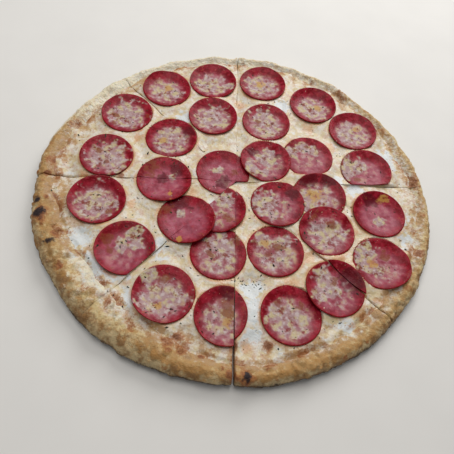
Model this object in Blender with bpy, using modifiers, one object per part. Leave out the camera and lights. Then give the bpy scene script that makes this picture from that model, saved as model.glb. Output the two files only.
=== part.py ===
"""Pepperoni pizza, fourteen inches across, cut into seven slices that still lie together.

Metres, +Z up. The origin is the middle of the flat underside. Each slice of the pizza is a wedge of crust,
one of sauce and one of cheese. The pepperoni slices lie on the cheese, cupped, some over their neighbours,
and those on a cut are in two or more pieces.

The pie is first turned with even sizes and then warped: the same warp bends crust, sauce and cheese, so the
layers stay clear of each other.
"""
import math
from typing import NamedTuple

import bpy
from mathutils import Vector, noise

# Driving sizes of the evenly turned pie.
PIE_RADIUS = 0.178
RIM_WIDTH = 0.020
RIM_HEIGHT = 0.0150
BED_HEIGHT = 0.0050
SAUCE_BOTTOM = 0.0053
SAUCE_TOP = 0.0061
CHEESE_BOTTOM = 0.0064
CHEESE_TOP = 0.0100
LAYER_GAP = 0.0004
LIP_THICKNESS = 0.0008
SPOKES = 96
SAUCE_SPOKES = 48
MERGE_DISTANCE = 0.00005
LAYER_SHARP_ANGLE = 40.0

# The cheese ends on the inner slope of the rim: the slope starts this far inside its foot, the lip this far out.
FOOT = PIE_RADIUS - RIM_WIDTH
SHORE_IN = 0.008
SHORE_OUT = 0.004
CLIMB_OUT = 0.006
SAUCE_INSET = 0.0095
CHEESE_RINGS = 4

# The rim's section: height at shares of the rim's width out from the foot, then below the edge at distances
# in from it.
FOOT_HEIGHT = 0.0086
SHORE_HEIGHT = 0.0110
CREST_SECTION = ((0.40, 0.0132), (0.62, RIM_HEIGHT), (0.80, 0.0139), (0.93, 0.0110), (1.00, 0.0070))
UNDER_SECTION = ((0.0008, 0.0032), (0.0040, 0.0009), (0.0090, 0.0))

# Radius of the outline, every 15 degrees from +X round to the left.
OUTLINE = (
    0.1805, 0.1805, 0.1785, 0.1775, 0.1775, 0.1765, 0.1755, 0.1745,
    0.1737, 0.1733, 0.1757, 0.1770, 0.1800, 0.1780, 0.1790, 0.1773,
    0.1783, 0.1775, 0.1758, 0.1770, 0.1770, 0.1780, 0.1776, 0.1795,
)
# Width of the bare rim, every 15 degrees.
RIM_WIDTHS = (
    0.016, 0.016, 0.015, 0.014, 0.014, 0.013, 0.013, 0.013,
    0.014, 0.015, 0.018, 0.020, 0.019, 0.021, 0.028, 0.032,
    0.032, 0.030, 0.020, 0.017, 0.018, 0.021, 0.021, 0.018,
)
# Height of the rim, every 30 degrees.
RIM_HEIGHTS = (
    0.0135, 0.0130, 0.0130, 0.0125, 0.0130, 0.0140,
    0.0145, 0.0155, 0.0160, 0.0150, 0.0145, 0.0145,
)
RIM_LUMP = 0.0024
RIM_LUMP_SPAN = 0.021
EDGE_LUMP = 0.0009
CHEESE_WAVE = 0.0006
CHEESE_WAVE_SPAN = 0.045
WAVE_START_HEIGHT = 0.0075
WAVE_FULL_HEIGHT = 0.0095

# The cuts meet at one point. Each slice starts at its angle and runs round to the next one's.
CUT_POINT = Vector((-0.0010, 0.0025, 0.0))
SLICE_STARTS = {"a": 11.0, "b": 98.0, "c": 142.5, "d": 190.5, "e": 237.5, "f": 278.0, "g": 323.0}
CUT_WIDTHS = {"a": 0.0010, "b": 0.0010, "c": 0.0009, "d": 0.0012, "e": 0.0007, "f": 0.0020, "g": 0.0009}
CUT_WIDTH_AT_POINT = 0.0006
BLADE_LENGTH = 0.200
BLADE_HEIGHT = 0.050

# Pepperoni.
SLICE_THICKNESS = 0.0017
SLICE_SPOKES = 20
SLICE_SHARP_ANGLE = 50.0
FLAT_SHARE = 0.50
BEND_SHARE = 0.76
CURL_START_SHARE = 0.45
CURL_END_SHARE = 1.2
REST_GAP = 0.0004
REST_REACH = 0.0045
REST_SAMPLES = 8
DRAPE_FULL = 0.005
DRAPE_END = 0.013
PRESS_FULL = 0.008
PRESS_END = 0.016
CUT_MARGIN = 0.0004


class Pepperoni(NamedTuple):
    """One slice of pepperoni, or the piece of it that lies in its home slices of the pizza.

    Millimetres and degrees: `cup` is how far the edge curls up, on average, `lean` where it is highest and
    `tilt` the share by which it is higher there. `level` 0 lies on the cheese, 1 and more over lower ones.
    """

    number: int
    home: str
    x: float
    y: float
    radius: float = 24.6
    cup: float = 3.0
    lean: float = 90.0
    tilt: float = 0.2
    level: int = 0
    whole: bool = False


PEPPERONI = (
    Pepperoni(1, "b", -89.0, 101.8, radius=24.4, cup=3.2, lean=130.0, tilt=0.45),
    Pepperoni(2, "b", -44.6, 124.8, cup=4.2, lean=95.0),
    Pepperoni(3, "a", 7.4, 134.6, cup=4.0, lean=85.0),
    Pepperoni(4, "c", -118.6, 59.2, cup=2.8, lean=160.0, tilt=0.4),
    Pepperoni(5, "b", -35.8, 75.2, radius=24.2, cup=4.4, lean=100.0),
    Pepperoni(6, "a", 17.6, 81.2, radius=24.2, cup=2.6, lean=80.0),
    Pepperoni(7, "a", 63.0, 116.4, radius=24.4, cup=4.8, lean=70.0, tilt=0.3),
    Pepperoni(8, "a", 105.6, 90.2, radius=24.4, cup=4.0, lean=60.0),
    Pepperoni(9, "c", -122.2, 3.6, radius=24.2, cup=3.4, lean=170.0, tilt=0.35),
    Pepperoni(10, "c", -70.0, 38.8, radius=24.3, cup=1.6, lean=330.0, tilt=0.6),
    Pepperoni(10, "b", -69.6, 39.0, radius=24.3, cup=1.6, lean=330.0, tilt=0.6),
    Pepperoni(11, "a", 22.8, 31.8, radius=24.2, cup=1.8, level=2),
    Pepperoni(12, "a", 62.8, 47.0, radius=24.2, cup=1.6, lean=20.0, tilt=0.5, level=1),
    Pepperoni(13, "a", 119.8, 43.0, radius=24.4, cup=2.8, lean=20.0, tilt=0.7),
    Pepperoni(14, "d", -115.6, -45.6, cup=5.0, lean=150.0, tilt=0.3),
    Pepperoni(15, "c", -65.0, -10.9, cup=2.6, lean=100.0, level=1),
    Pepperoni(15, "d", -65.0, -11.4, cup=2.0, lean=250.0, level=1),
    Pepperoni(16, "bc", -14.8, 9.6, cup=2.6, lean=150.0),
    Pepperoni(16, "a", -14.4, 10.2, cup=1.4, lean=60.0),
    Pepperoni(16, "d", -14.8, 8.6, cup=1.8, lean=250.0),
    Pepperoni(17, "e", -12.0, -31.2, cup=2.2, lean=300.0, level=1),
    Pepperoni(17, "f", -12.2, -31.0, cup=3.0, lean=350.0, tilt=0.6),
    Pepperoni(18, "fg", 39.2, -14.8, radius=24.2, cup=1.8, lean=60.0, tilt=0.5, level=1),
    Pepperoni(19, "g", 76.4, 2.6, cup=3.6, lean=95.0, tilt=0.3, whole=True),
    Pepperoni(20, "g", 131.4, -5.4, radius=24.2, cup=3.6, lean=140.0, tilt=0.35),
    Pepperoni(21, "d", -79.8, -85.4, cup=3.6, lean=175.0, tilt=0.4),
    Pepperoni(22, "d", -37.2, -47.4, cup=2.4, lean=190.0),
    Pepperoni(22, "e", -36.6, -48.2, cup=2.6, lean=300.0, tilt=0.4, level=2),
    Pepperoni(23, "e", -3.6, -74.0, radius=24.4, cup=2.0, lean=270.0),
    Pepperoni(23, "f", -5.4, -75.2, radius=24.4, cup=1.8, lean=340.0),
    Pepperoni(24, "f", 42.4, -62.2, radius=24.3, cup=2.2, lean=280.0),
    Pepperoni(25, "g", 85.0, -33.4, cup=1.8, lean=330.0, level=1),
    Pepperoni(26, "g", 133.0, -55.0, cup=1.6, lean=340.0, tilt=0.4),
    Pepperoni(27, "e", -40.0, -118.0, radius=24.6, cup=3.2, lean=190.0, tilt=0.3),
    Pepperoni(28, "e", 10.0, -126.0, radius=24.4, cup=3.2, lean=200.0, tilt=0.3, level=1),
    Pepperoni(28, "f", 2.6, -125.4, cup=2.2, lean=350.0),
    Pepperoni(29, "f", 60.6, -115.6, cup=3.2, lean=90.0),
    Pepperoni(30, "f", 94.0, -86.4, cup=2.2, lean=240.0, level=1),
    Pepperoni(30, "g", 94.2, -86.2, cup=4.6, lean=50.0, tilt=0.3),
)

# Colour, roughness and metallic value.
LOOKS = {
    "crust": ((0.56, 0.36, 0.17, 1.0), 0.80, 0.0),
    "sauce": ((0.38, 0.06, 0.02, 1.0), 0.35, 0.0),
    "cheese": ((0.68, 0.60, 0.40, 1.0), 0.40, 0.0),
    "pepperoni": ((0.33, 0.06, 0.08, 1.0), 0.35, 0.0),
}

MILLIMETRE = 0.001
TURN = 2.0 * math.pi


# Shape rules.

def smooth(value, low, high):
    """Return 0 at `low`, 1 at `high` and an even S between them."""
    share = min(max((value - low) / (high - low), 0.0), 1.0)
    return share * share * (3.0 - 2.0 * share)


def around(values, angle):
    """Return the value, at an angle, of a smooth closed curve through evenly spaced values."""
    count = len(values)
    place = (angle / TURN) % 1.0 * count
    low = int(place)
    share = place - low
    before, here, after, later = (values[(low + step) % count] for step in (-1, 0, 1, 2))
    cubic = 3.0 * (here - after) + later - before
    square = 2.0 * before - 5.0 * here + 4.0 * after - later
    return here + 0.5 * share * (after - before + share * (square + share * cubic))


def waviness(x, y, span, layer):
    """Return smooth noise of about -1 to 1 whose bumps are `span` across."""
    return noise.noise(Vector((x / span, y / span, layer)))


def warp(point):
    """Move a point of the evenly turned pie to its place in the uneven one."""
    radius = math.hypot(point.x, point.y)
    angle = math.atan2(point.y, point.x)
    edge = around(OUTLINE, angle)
    foot = edge - around(RIM_WIDTHS, angle)
    if radius <= FOOT - SHORE_IN:
        distance = radius * (foot - SHORE_IN) / (FOOT - SHORE_IN)
    elif radius <= FOOT + SHORE_OUT:
        distance = foot + radius - FOOT
    else:
        share = (radius - FOOT - SHORE_OUT) / (RIM_WIDTH - SHORE_OUT)
        distance = foot + SHORE_OUT + share * (edge - foot - SHORE_OUT)
    x = distance * math.cos(angle)
    y = distance * math.sin(angle)
    climb = smooth(radius, FOOT - SHORE_IN, FOOT + CLIMB_OUT)
    outside = smooth(radius, FOOT + SHORE_OUT, PIE_RADIUS)
    distance += EDGE_LUMP * outside * waviness(x, y, RIM_LUMP_SPAN, 7.0)
    return Vector((distance * math.cos(angle), distance * math.sin(angle), lifted(point.z, x, y, climb, angle)))


def lifted(height, x, y, climb, angle):
    """Return the uneven height of a point that was turned at `height`."""
    tall = 1.0 + (around(RIM_HEIGHTS, angle) / RIM_HEIGHT - 1.0) * climb
    lump = RIM_LUMP * climb * min(height / CHEESE_BOTTOM, 1.0) * waviness(x, y, RIM_LUMP_SPAN, 3.0)
    on_top = smooth(height, WAVE_START_HEIGHT, WAVE_FULL_HEIGHT)
    wave = CHEESE_WAVE * (1.0 - climb) * on_top * waviness(x, y, CHEESE_WAVE_SPAN, 5.0)
    return height * tall + lump + wave


# Outlines that are turned about the Z axis, each from its top at the axis to its bottom there.

def rim_points():
    """Return radius and height along the crust, from the foot's inner side over the crest to the underside."""
    slope = ((FOOT - SHORE_IN, BED_HEIGHT), (FOOT, FOOT_HEIGHT), (FOOT + SHORE_OUT, SHORE_HEIGHT))
    crest = tuple((FOOT + share * RIM_WIDTH, height) for share, height in CREST_SECTION)
    under = tuple((PIE_RADIUS - inset, height) for inset, height in UNDER_SECTION)
    return (*slope, *crest, *under)


def crust_outline():
    """Return the crust's half section."""
    return ((0.0, BED_HEIGHT), *rim_points(), (0.0, 0.0))


def sauce_outline():
    """Return the sauce layer's half section."""
    reach = FOOT - SAUCE_INSET
    return ((0.0, SAUCE_TOP), (reach, SAUCE_TOP), (reach, SAUCE_BOTTOM), (0.0, SAUCE_BOTTOM))


def cheese_outline():
    """Return the cheese's half section: flat rings, then a lip that thins out on the rim's slope."""
    flat = FOOT - SHORE_IN
    top = [(flat * ring / CHEESE_RINGS, CHEESE_TOP) for ring in range(CHEESE_RINGS + 1)]
    slope = rim_points()[1:3]
    bottom = [(radius, height + LAYER_GAP) for radius, height in slope]
    lip = (FOOT + SHORE_OUT, bottom[1][1] + LIP_THICKNESS)
    shoulder = (FOOT, CHEESE_TOP + LIP_THICKNESS)
    return (*top, shoulder, lip, bottom[1], bottom[0], (flat, CHEESE_BOTTOM), (0.0, CHEESE_BOTTOM))


def top_height(x, y):
    """Return the height of the pizza's upper surface, cheese or rim, under its toppings."""
    angle = math.atan2(y, x)
    edge = around(OUTLINE, angle)
    foot = edge - around(RIM_WIDTHS, angle)
    distance = math.hypot(x, y)
    if distance <= foot - SHORE_IN:
        radius = distance * (FOOT - SHORE_IN) / (foot - SHORE_IN)
    elif distance <= foot + SHORE_OUT:
        radius = FOOT + distance - foot
    else:
        share = (distance - foot - SHORE_OUT) / (edge - foot - SHORE_OUT)
        radius = FOOT + SHORE_OUT + share * (RIM_WIDTH - SHORE_OUT)
    climb = smooth(radius, FOOT - SHORE_IN, FOOT + CLIMB_OUT)
    return lifted(section_height(radius), x, y, climb, angle)


def section_height(radius):
    """Return the turned height of the upper surface at a radius of the evenly turned pie."""
    lip = cheese_outline()[CHEESE_RINGS:CHEESE_RINGS + 3]
    crest = rim_points()[3:3 + len(CREST_SECTION)]
    section = (*lip, *crest)
    if radius <= section[0][0]:
        return section[0][1]
    for (inner, low), (outer, high) in zip(section, section[1:]):
        if radius <= outer:
            return low + (high - low) * (radius - inner) / (outer - inner)
    return section[-1][1]


# Building helpers.

def make_material(name):
    """Return the Principled material of one kind of food."""
    colour, roughness, metallic = LOOKS[name]
    material = bpy.data.materials.new(name)
    material.use_nodes = True
    shader = material.node_tree.nodes["Principled BSDF"]
    shader.inputs["Base Color"].default_value = colour
    shader.inputs["Roughness"].default_value = roughness
    shader.inputs["Metallic"].default_value = metallic
    return material


def link(name, mesh, collection):
    """Return a new object of a mesh in a collection."""
    item = bpy.data.objects.new(name, mesh)
    collection.objects.link(item)
    return item


def baked(item, name, collection):
    """Replace an object by one whose mesh has the modifiers in it."""
    graph = bpy.context.evaluated_depsgraph_get()
    mesh = bpy.data.meshes.new_from_object(item.evaluated_get(graph))
    bpy.data.objects.remove(item, do_unlink=True)
    return link(name, mesh, collection)


def turned(name, outline, spokes, collection):
    """Return the solid that a half section makes when it is turned about the Z axis."""
    mesh = bpy.data.meshes.new(name)
    points = [(radius, 0.0, height) for radius, height in outline]
    edges = [(index, index + 1) for index in range(len(points) - 1)]
    mesh.from_pydata(points, edges, [])
    item = link(name, mesh, collection)
    screw = item.modifiers.new("turn", "SCREW")
    screw.axis = "Z"
    screw.steps = spokes
    screw.render_steps = spokes
    screw.use_merge_vertices = True
    screw.merge_threshold = MERGE_DISTANCE
    return baked(item, name, collection)


def make_blade(start, collection):
    """Return the tapered cutter of the cut at which a slice starts."""
    bpy.ops.mesh.primitive_cube_add(size=1.0)
    blade = bpy.context.active_object
    blade.name = f"blade_{start}"
    for owner in blade.users_collection:
        owner.objects.unlink(blade)
    collection.objects.link(blade)
    for vertex in blade.data.vertices:
        outer = vertex.co.x > 0.0
        width = CUT_WIDTHS[start] if outer else CUT_WIDTH_AT_POINT
        vertex.co.x = BLADE_LENGTH if outer else -0.5 * CUT_WIDTH_AT_POINT
        vertex.co.y *= width
        vertex.co.z = math.copysign(0.5 * BLADE_HEIGHT, vertex.co.z)
    blade.location = CUT_POINT
    blade.rotation_euler.z = math.radians(SLICE_STARTS[start])
    blade.hide_render = True
    blade.display_type = "WIRE"
    bpy.context.view_layer.update()
    return blade


def subtract(item, blades):
    """Cut an object with each blade."""
    for blade in blades:
        cut = item.modifiers.new(blade.name, "BOOLEAN")
        cut.operation = "DIFFERENCE"
        cut.object = blade


def pieces_of(item, collection):
    """Bake an object and part it into its loose pieces."""
    solid = baked(item, item.name, collection)
    before = set(collection.objects)
    bpy.ops.object.select_all(action="DESELECT")
    bpy.context.view_layer.objects.active = solid
    solid.select_set(True)
    bpy.ops.mesh.separate(type="LOOSE")
    return [solid, *(other for other in collection.objects if other not in before)]


def slice_at(x, y):
    """Return the letter of the slice of the pizza that holds a place."""
    angle = math.degrees(math.atan2(y - CUT_POINT.y, x - CUT_POINT.x)) % 360.0
    letters = [letter for letter, start in SLICE_STARTS.items() if start <= angle]
    return letters[-1] if letters else "g"


def middle(item):
    """Return the mean of an object's corners, in world space."""
    corners = [item.matrix_world @ vertex.co for vertex in item.data.vertices]
    return sum(corners, Vector()) / len(corners)


# The layers.

def make_layer(name, outline, spokes, blades, collection):
    """Turn and warp one layer of the pie and part it into one wedge for each slice."""
    pie = turned(name, outline, spokes, collection)
    for vertex in pie.data.vertices:
        vertex.co = warp(vertex.co)
    subtract(pie, blades.values())
    material = make_material(name)
    for wedge in pieces_of(pie, collection):
        place = middle(wedge)
        wedge.name = f"{name}_{slice_at(place.x, place.y)}"
        wedge.data.name = wedge.name
        wedge.data.materials.clear()
        wedge.data.materials.append(material)
        wedge.data.shade_smooth()
        wedge.data.set_sharp_from_angle(angle=math.radians(LAYER_SHARP_ANGLE))


# The pepperoni.

def outside_of(piece, x, y):
    """Return how far, in metres, a place lies outside a slice of pepperoni."""
    away = math.hypot(x - piece.x * MILLIMETRE, y - piece.y * MILLIMETRE)
    return away - piece.radius * MILLIMETRE


def lap_each_other(one, other):
    """Tell whether two pieces in the same slice of the pizza lie over each other."""
    apart = math.hypot(one.x - other.x, one.y - other.y)
    shared = set(one.home) & set(other.home)
    return bool(shared) and one is not other and apart < one.radius + other.radius


def rest_height(piece, x, y):
    """Return the height at which the underside of a piece rests at a place."""
    samples = [(x, y)]
    for step in range(REST_SAMPLES):
        angle = TURN * step / REST_SAMPLES
        samples.append((x + REST_REACH * math.cos(angle), y + REST_REACH * math.sin(angle)))
    height = max(top_height(*sample) for sample in samples) + REST_GAP
    for lower in PEPPERONI:
        if lower.level < piece.level and lap_each_other(piece, lower):
            drape = 1.0 - smooth(outside_of(lower, x, y), DRAPE_FULL, DRAPE_END)
            height += (SLICE_THICKNESS + REST_GAP) * drape
    return height


def cup_height(piece, x, y):
    """Return how far a piece curls up at a place, less where a higher one presses on it."""
    across, along = x - piece.x * MILLIMETRE, y - piece.y * MILLIMETRE
    share = math.hypot(across, along) / (piece.radius * MILLIMETRE)
    turn = math.atan2(along, across) - math.radians(piece.lean)
    rise = piece.cup * MILLIMETRE * (1.0 + piece.tilt * math.cos(turn))
    for upper in PEPPERONI:
        if upper.level > piece.level and lap_each_other(piece, upper):
            rise *= smooth(outside_of(upper, x, y), PRESS_FULL, PRESS_END)
    return rise * smooth(share, CURL_START_SHARE, CURL_END_SHARE)


def crossing_blades(piece, blades):
    """Return the blades beside a piece's home slices that cross it."""
    letters = list(SLICE_STARTS)
    after = letters[(letters.index(piece.home[-1]) + 1) % len(letters)]
    found = []
    for letter in (piece.home[0], after):
        angle = math.radians(SLICE_STARTS[letter])
        across = piece.x * MILLIMETRE - CUT_POINT.x
        along = piece.y * MILLIMETRE - CUT_POINT.y
        aside = abs(along * math.cos(angle) - across * math.sin(angle))
        ahead = across * math.cos(angle) + along * math.sin(angle)
        reach = piece.radius * MILLIMETRE
        if aside < reach - CUT_MARGIN and ahead > -reach:
            found.append(blades[letter])
    return [] if piece.whole else found


def make_pepperoni(piece, blades, material, collection):
    """Turn a slice of pepperoni, bend it over what it lies on and keep the piece in its home slices."""
    kept_pieces = [other for other in PEPPERONI if other.number == piece.number]
    name = f"pepperoni_{piece.number:02d}"
    if len(kept_pieces) > 1:
        name += f"_{piece.home}"
    radius = piece.radius * MILLIMETRE
    upper = [(share * radius, SLICE_THICKNESS) for share in (0.0, FLAT_SHARE, BEND_SHARE, 1.0)]
    lower = [(share * radius, 0.0) for share in (1.0, BEND_SHARE, FLAT_SHARE, 0.0)]
    disc = turned(name, (*upper, *lower), SLICE_SPOKES, collection)
    disc.location = (piece.x * MILLIMETRE, piece.y * MILLIMETRE, 0.0)
    bpy.context.view_layer.update()
    for vertex in disc.data.vertices:
        place = disc.location + vertex.co
        vertex.co.z += rest_height(piece, place.x, place.y) + cup_height(piece, place.x, place.y)
    crossing = crossing_blades(piece, blades)
    found = [disc]
    if crossing:
        place = disc.location.copy()
        subtract(disc, crossing)
        found = pieces_of(disc, collection)
        for part in found:
            part.location = place
    bpy.context.view_layer.update()
    kept = max(found, key=lambda part: in_home(part, piece) * len(part.data.vertices))
    for part in found:
        if part is not kept:
            bpy.data.objects.remove(part, do_unlink=True)
    kept.name = name
    kept.data.name = name
    kept.data.materials.clear()
    kept.data.materials.append(material)
    kept.data.shade_smooth()
    kept.data.set_sharp_from_angle(angle=math.radians(SLICE_SHARP_ANGLE))


def in_home(part, piece):
    """Tell whether the middle of a cut part lies in the piece's home slices."""
    place = middle(part)
    return slice_at(place.x, place.y) in piece.home


def main():
    """Build the pizza."""
    for item in list(bpy.data.objects):
        bpy.data.objects.remove(item, do_unlink=True)
    pizza = bpy.data.collections.new("pepperoni_pizza")
    cutters = bpy.data.collections.new("cutters")
    bpy.context.scene.collection.children.link(pizza)
    bpy.context.scene.collection.children.link(cutters)
    blades = {start: make_blade(start, cutters) for start in SLICE_STARTS}
    make_layer("crust", crust_outline(), SPOKES, blades, pizza)
    make_layer("sauce", sauce_outline(), SAUCE_SPOKES, blades, pizza)
    make_layer("cheese", cheese_outline(), SPOKES, blades, pizza)
    meat = make_material("pepperoni")
    for piece in PEPPERONI:
        make_pepperoni(piece, blades, meat, pizza)


if __name__ == "__main__":
    main()
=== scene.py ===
"""Looks of a pepperoni pizza: baked crust, sauce, melted cheese, pepperoni, grated cheese and herbs.

Metres, +Z up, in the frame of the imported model: the origin is the middle of the flat underside, and -Y is
toward the camera. Crust, cheese and pepperoni stand in for their plain solids. They follow the same rules of
form, with the fine relief of the real food. The sauce keeps its solids.
"""

import itertools
import logging
import math
from collections.abc import Callable
from dataclasses import dataclass, field
from enum import Enum
from functools import cached_property, reduce
from typing import Any

import bmesh
import bpy
import numpy as np
from mathutils import Matrix, Vector, noise
from mathutils.bvhtree import BVHTree


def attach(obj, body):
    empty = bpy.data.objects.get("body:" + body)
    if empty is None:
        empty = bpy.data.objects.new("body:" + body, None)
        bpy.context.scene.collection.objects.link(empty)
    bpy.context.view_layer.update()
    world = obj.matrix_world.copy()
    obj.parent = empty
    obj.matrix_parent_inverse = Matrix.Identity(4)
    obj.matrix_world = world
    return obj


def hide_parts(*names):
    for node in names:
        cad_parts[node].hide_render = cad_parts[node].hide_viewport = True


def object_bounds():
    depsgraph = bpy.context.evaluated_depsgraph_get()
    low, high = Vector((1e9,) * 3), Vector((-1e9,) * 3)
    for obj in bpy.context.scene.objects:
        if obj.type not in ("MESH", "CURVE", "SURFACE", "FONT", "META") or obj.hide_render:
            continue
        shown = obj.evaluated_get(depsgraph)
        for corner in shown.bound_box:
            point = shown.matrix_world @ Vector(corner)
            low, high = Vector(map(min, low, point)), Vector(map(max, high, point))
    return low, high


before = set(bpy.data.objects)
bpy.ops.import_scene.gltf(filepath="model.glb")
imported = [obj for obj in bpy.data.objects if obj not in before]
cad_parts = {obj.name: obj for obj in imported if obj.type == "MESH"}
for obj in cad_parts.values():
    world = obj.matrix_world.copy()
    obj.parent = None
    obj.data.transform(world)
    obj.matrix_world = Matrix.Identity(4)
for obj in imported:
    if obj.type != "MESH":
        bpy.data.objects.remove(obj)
CAD_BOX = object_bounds()

Array = np.ndarray
Tint = tuple[int, int, int]
Place = tuple[float, float, float]
Mesh = bpy.types.Mesh
Material = bpy.types.Material
Piece = bpy.types.Object
Rule = Callable[[Array, Array], Array]
MILLIMETRE = 0.001
TURN = 2.0 * math.pi
BOX_MARGIN = 0.00002
BODY = "root"
LOG = logging.getLogger("pizza")


class Food(Enum):
    """The kinds of food, by their material slots."""

    CRUST = "crust"
    SAUCE = "sauce"
    CHEESE = "cheese"
    PEPPERONI = "pepperoni"


class Mark(Enum):
    """What a spot on the pizza is, by the name of the mesh attribute that carries it."""

    FILM = "film"
    MELT = "melt"
    BROWN = "brown"
    GOLD = "gold"
    # Painted shade: dark spots on the far cup walls of the pepperoni, and the darker low outer side of the
    # crust.
    DARK = "dark"
    PALE = "pale"
    OIL = "oil"
    SCORCH = "scorch"
    # Lighter pink floor of the pepperoni cups, centred a little toward the camera: painted sheen, set off
    # against the meat's real darker ring.
    FLOOR = "floor"
    SKIN = "skin"


FILM, MELT, BROWN, GOLD, DARK, PALE, OIL, SCORCH, FLOOR, SKIN = Mark

# Round spots by their marks, each with x, y and its size across, in millimetres.
Spots = dict[Mark, tuple[Place, ...]]


# Numbers that vary over the food.

def smooth(value: Array, low: float, high: float) -> Array:
    """Return 0 up to low, 1 from high and an even S between them."""
    share = np.clip((value - low) / (high - low), 0.0, 1.0)
    return share * share * (3.0 - 2.0 * share)


def cubic(before: Array, here: Array, after: Array, later: Array, share: Array) -> Array:
    """Return the smooth curve through four even values, at a share of the way from here to after."""
    bend = 2.0 * before - 5.0 * here + 4.0 * after - later + share * (3.0 * (here - after) + later - before)
    return here + 0.5 * share * (after - before + share * bend)


def around(values: tuple[float, ...], angle: Array) -> Array:
    """Read a smooth closed curve through evenly spaced values.

    Args:
        values: The values, the first at +X, going round to the left.
        angle: Where to read them, in radians.

    Returns:
        The values there.
    """
    table = np.asarray(values)
    count = len(table)
    place = (angle / TURN) % 1.0 * count
    low = np.floor(place).astype(int)
    return cubic(*(table[(low + step) % count] for step in (-1, 0, 1, 2)), place - low)


def curve_through(points: Array, steps: int) -> Array:
    """Return a smooth open curve through points.

    Args:
        points: The points, one a row.
        steps: How many steps each span gets.

    Returns:
        The curve's points, one a row.
    """
    padded = np.vstack((2.0 * points[0] - points[1], points, 2.0 * points[-1] - points[-2]))
    spans = zip(padded, padded[1:], padded[2:], padded[3:])
    return np.array([*(cubic(*span, step / steps) for span in spans for step in range(steps)), points[-1]])


def evenly(curve: Array, spacing: float) -> Array:
    """Return points along a curve at an even spacing, both ends included.

    Args:
        curve: The curve's points, one a row.
        spacing: The wanted distance between points.

    Returns:
        The new points, one a row.
    """
    lengths = np.concatenate(([0.0], np.cumsum(np.linalg.norm(np.diff(curve, axis=0), axis=1))))
    count = max(2, int(round(lengths[-1] / spacing)) + 1)
    places = np.linspace(0.0, lengths[-1], count)
    return np.stack([np.interp(places, lengths, column) for column in curve.T], axis=1)


class HeightMap:
    """A rule of x and y, worked out once on a square grid and read anywhere between its points."""

    reach = 0.190
    count = 381

    def __init__(self, rule: Rule) -> None:
        """Work out the rule on the grid.

        Args:
            rule: Takes arrays of x and y and returns the values there.
        """
        places = np.linspace(-self.reach, self.reach, self.count)
        x, y = np.meshgrid(places, places)
        self.values = rule(x, y)

    def at(self, x: Array, y: Array) -> Array:
        """Read the map.

        Args:
            x: Places along X.
            y: Places along Y.

        Returns:
            The values there.
        """
        step = 2.0 * self.reach / (self.count - 1)
        column = np.clip((x + self.reach) / step, 0.0, self.count - 1.001)
        row = np.clip((y + self.reach) / step, 0.0, self.count - 1.001)
        left, low = column.astype(int), row.astype(int)
        across, up = column - left, row - low
        near = self.values[low, left] * (1.0 - across) + self.values[low, left + 1] * across
        far = self.values[low + 1, left] * (1.0 - across) + self.values[low + 1, left + 1] * across
        return near * (1.0 - up) + far * up


def waviness(span: float, layer: float) -> Rule:
    """Return the rule of the smooth noise that bends the plain solids.

    Args:
        span: How wide its bumps are.
        layer: Which sheet of the noise is read.

    Returns:
        A rule that a height map can hold.
    """
    def rule(x: Array, y: Array) -> Array:
        """Return the noise at each place."""
        places = zip(x.ravel() / span, y.ravel() / span)
        return np.array([noise.noise(Vector((*place, layer))) for place in places]).reshape(x.shape)
    return rule


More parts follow.
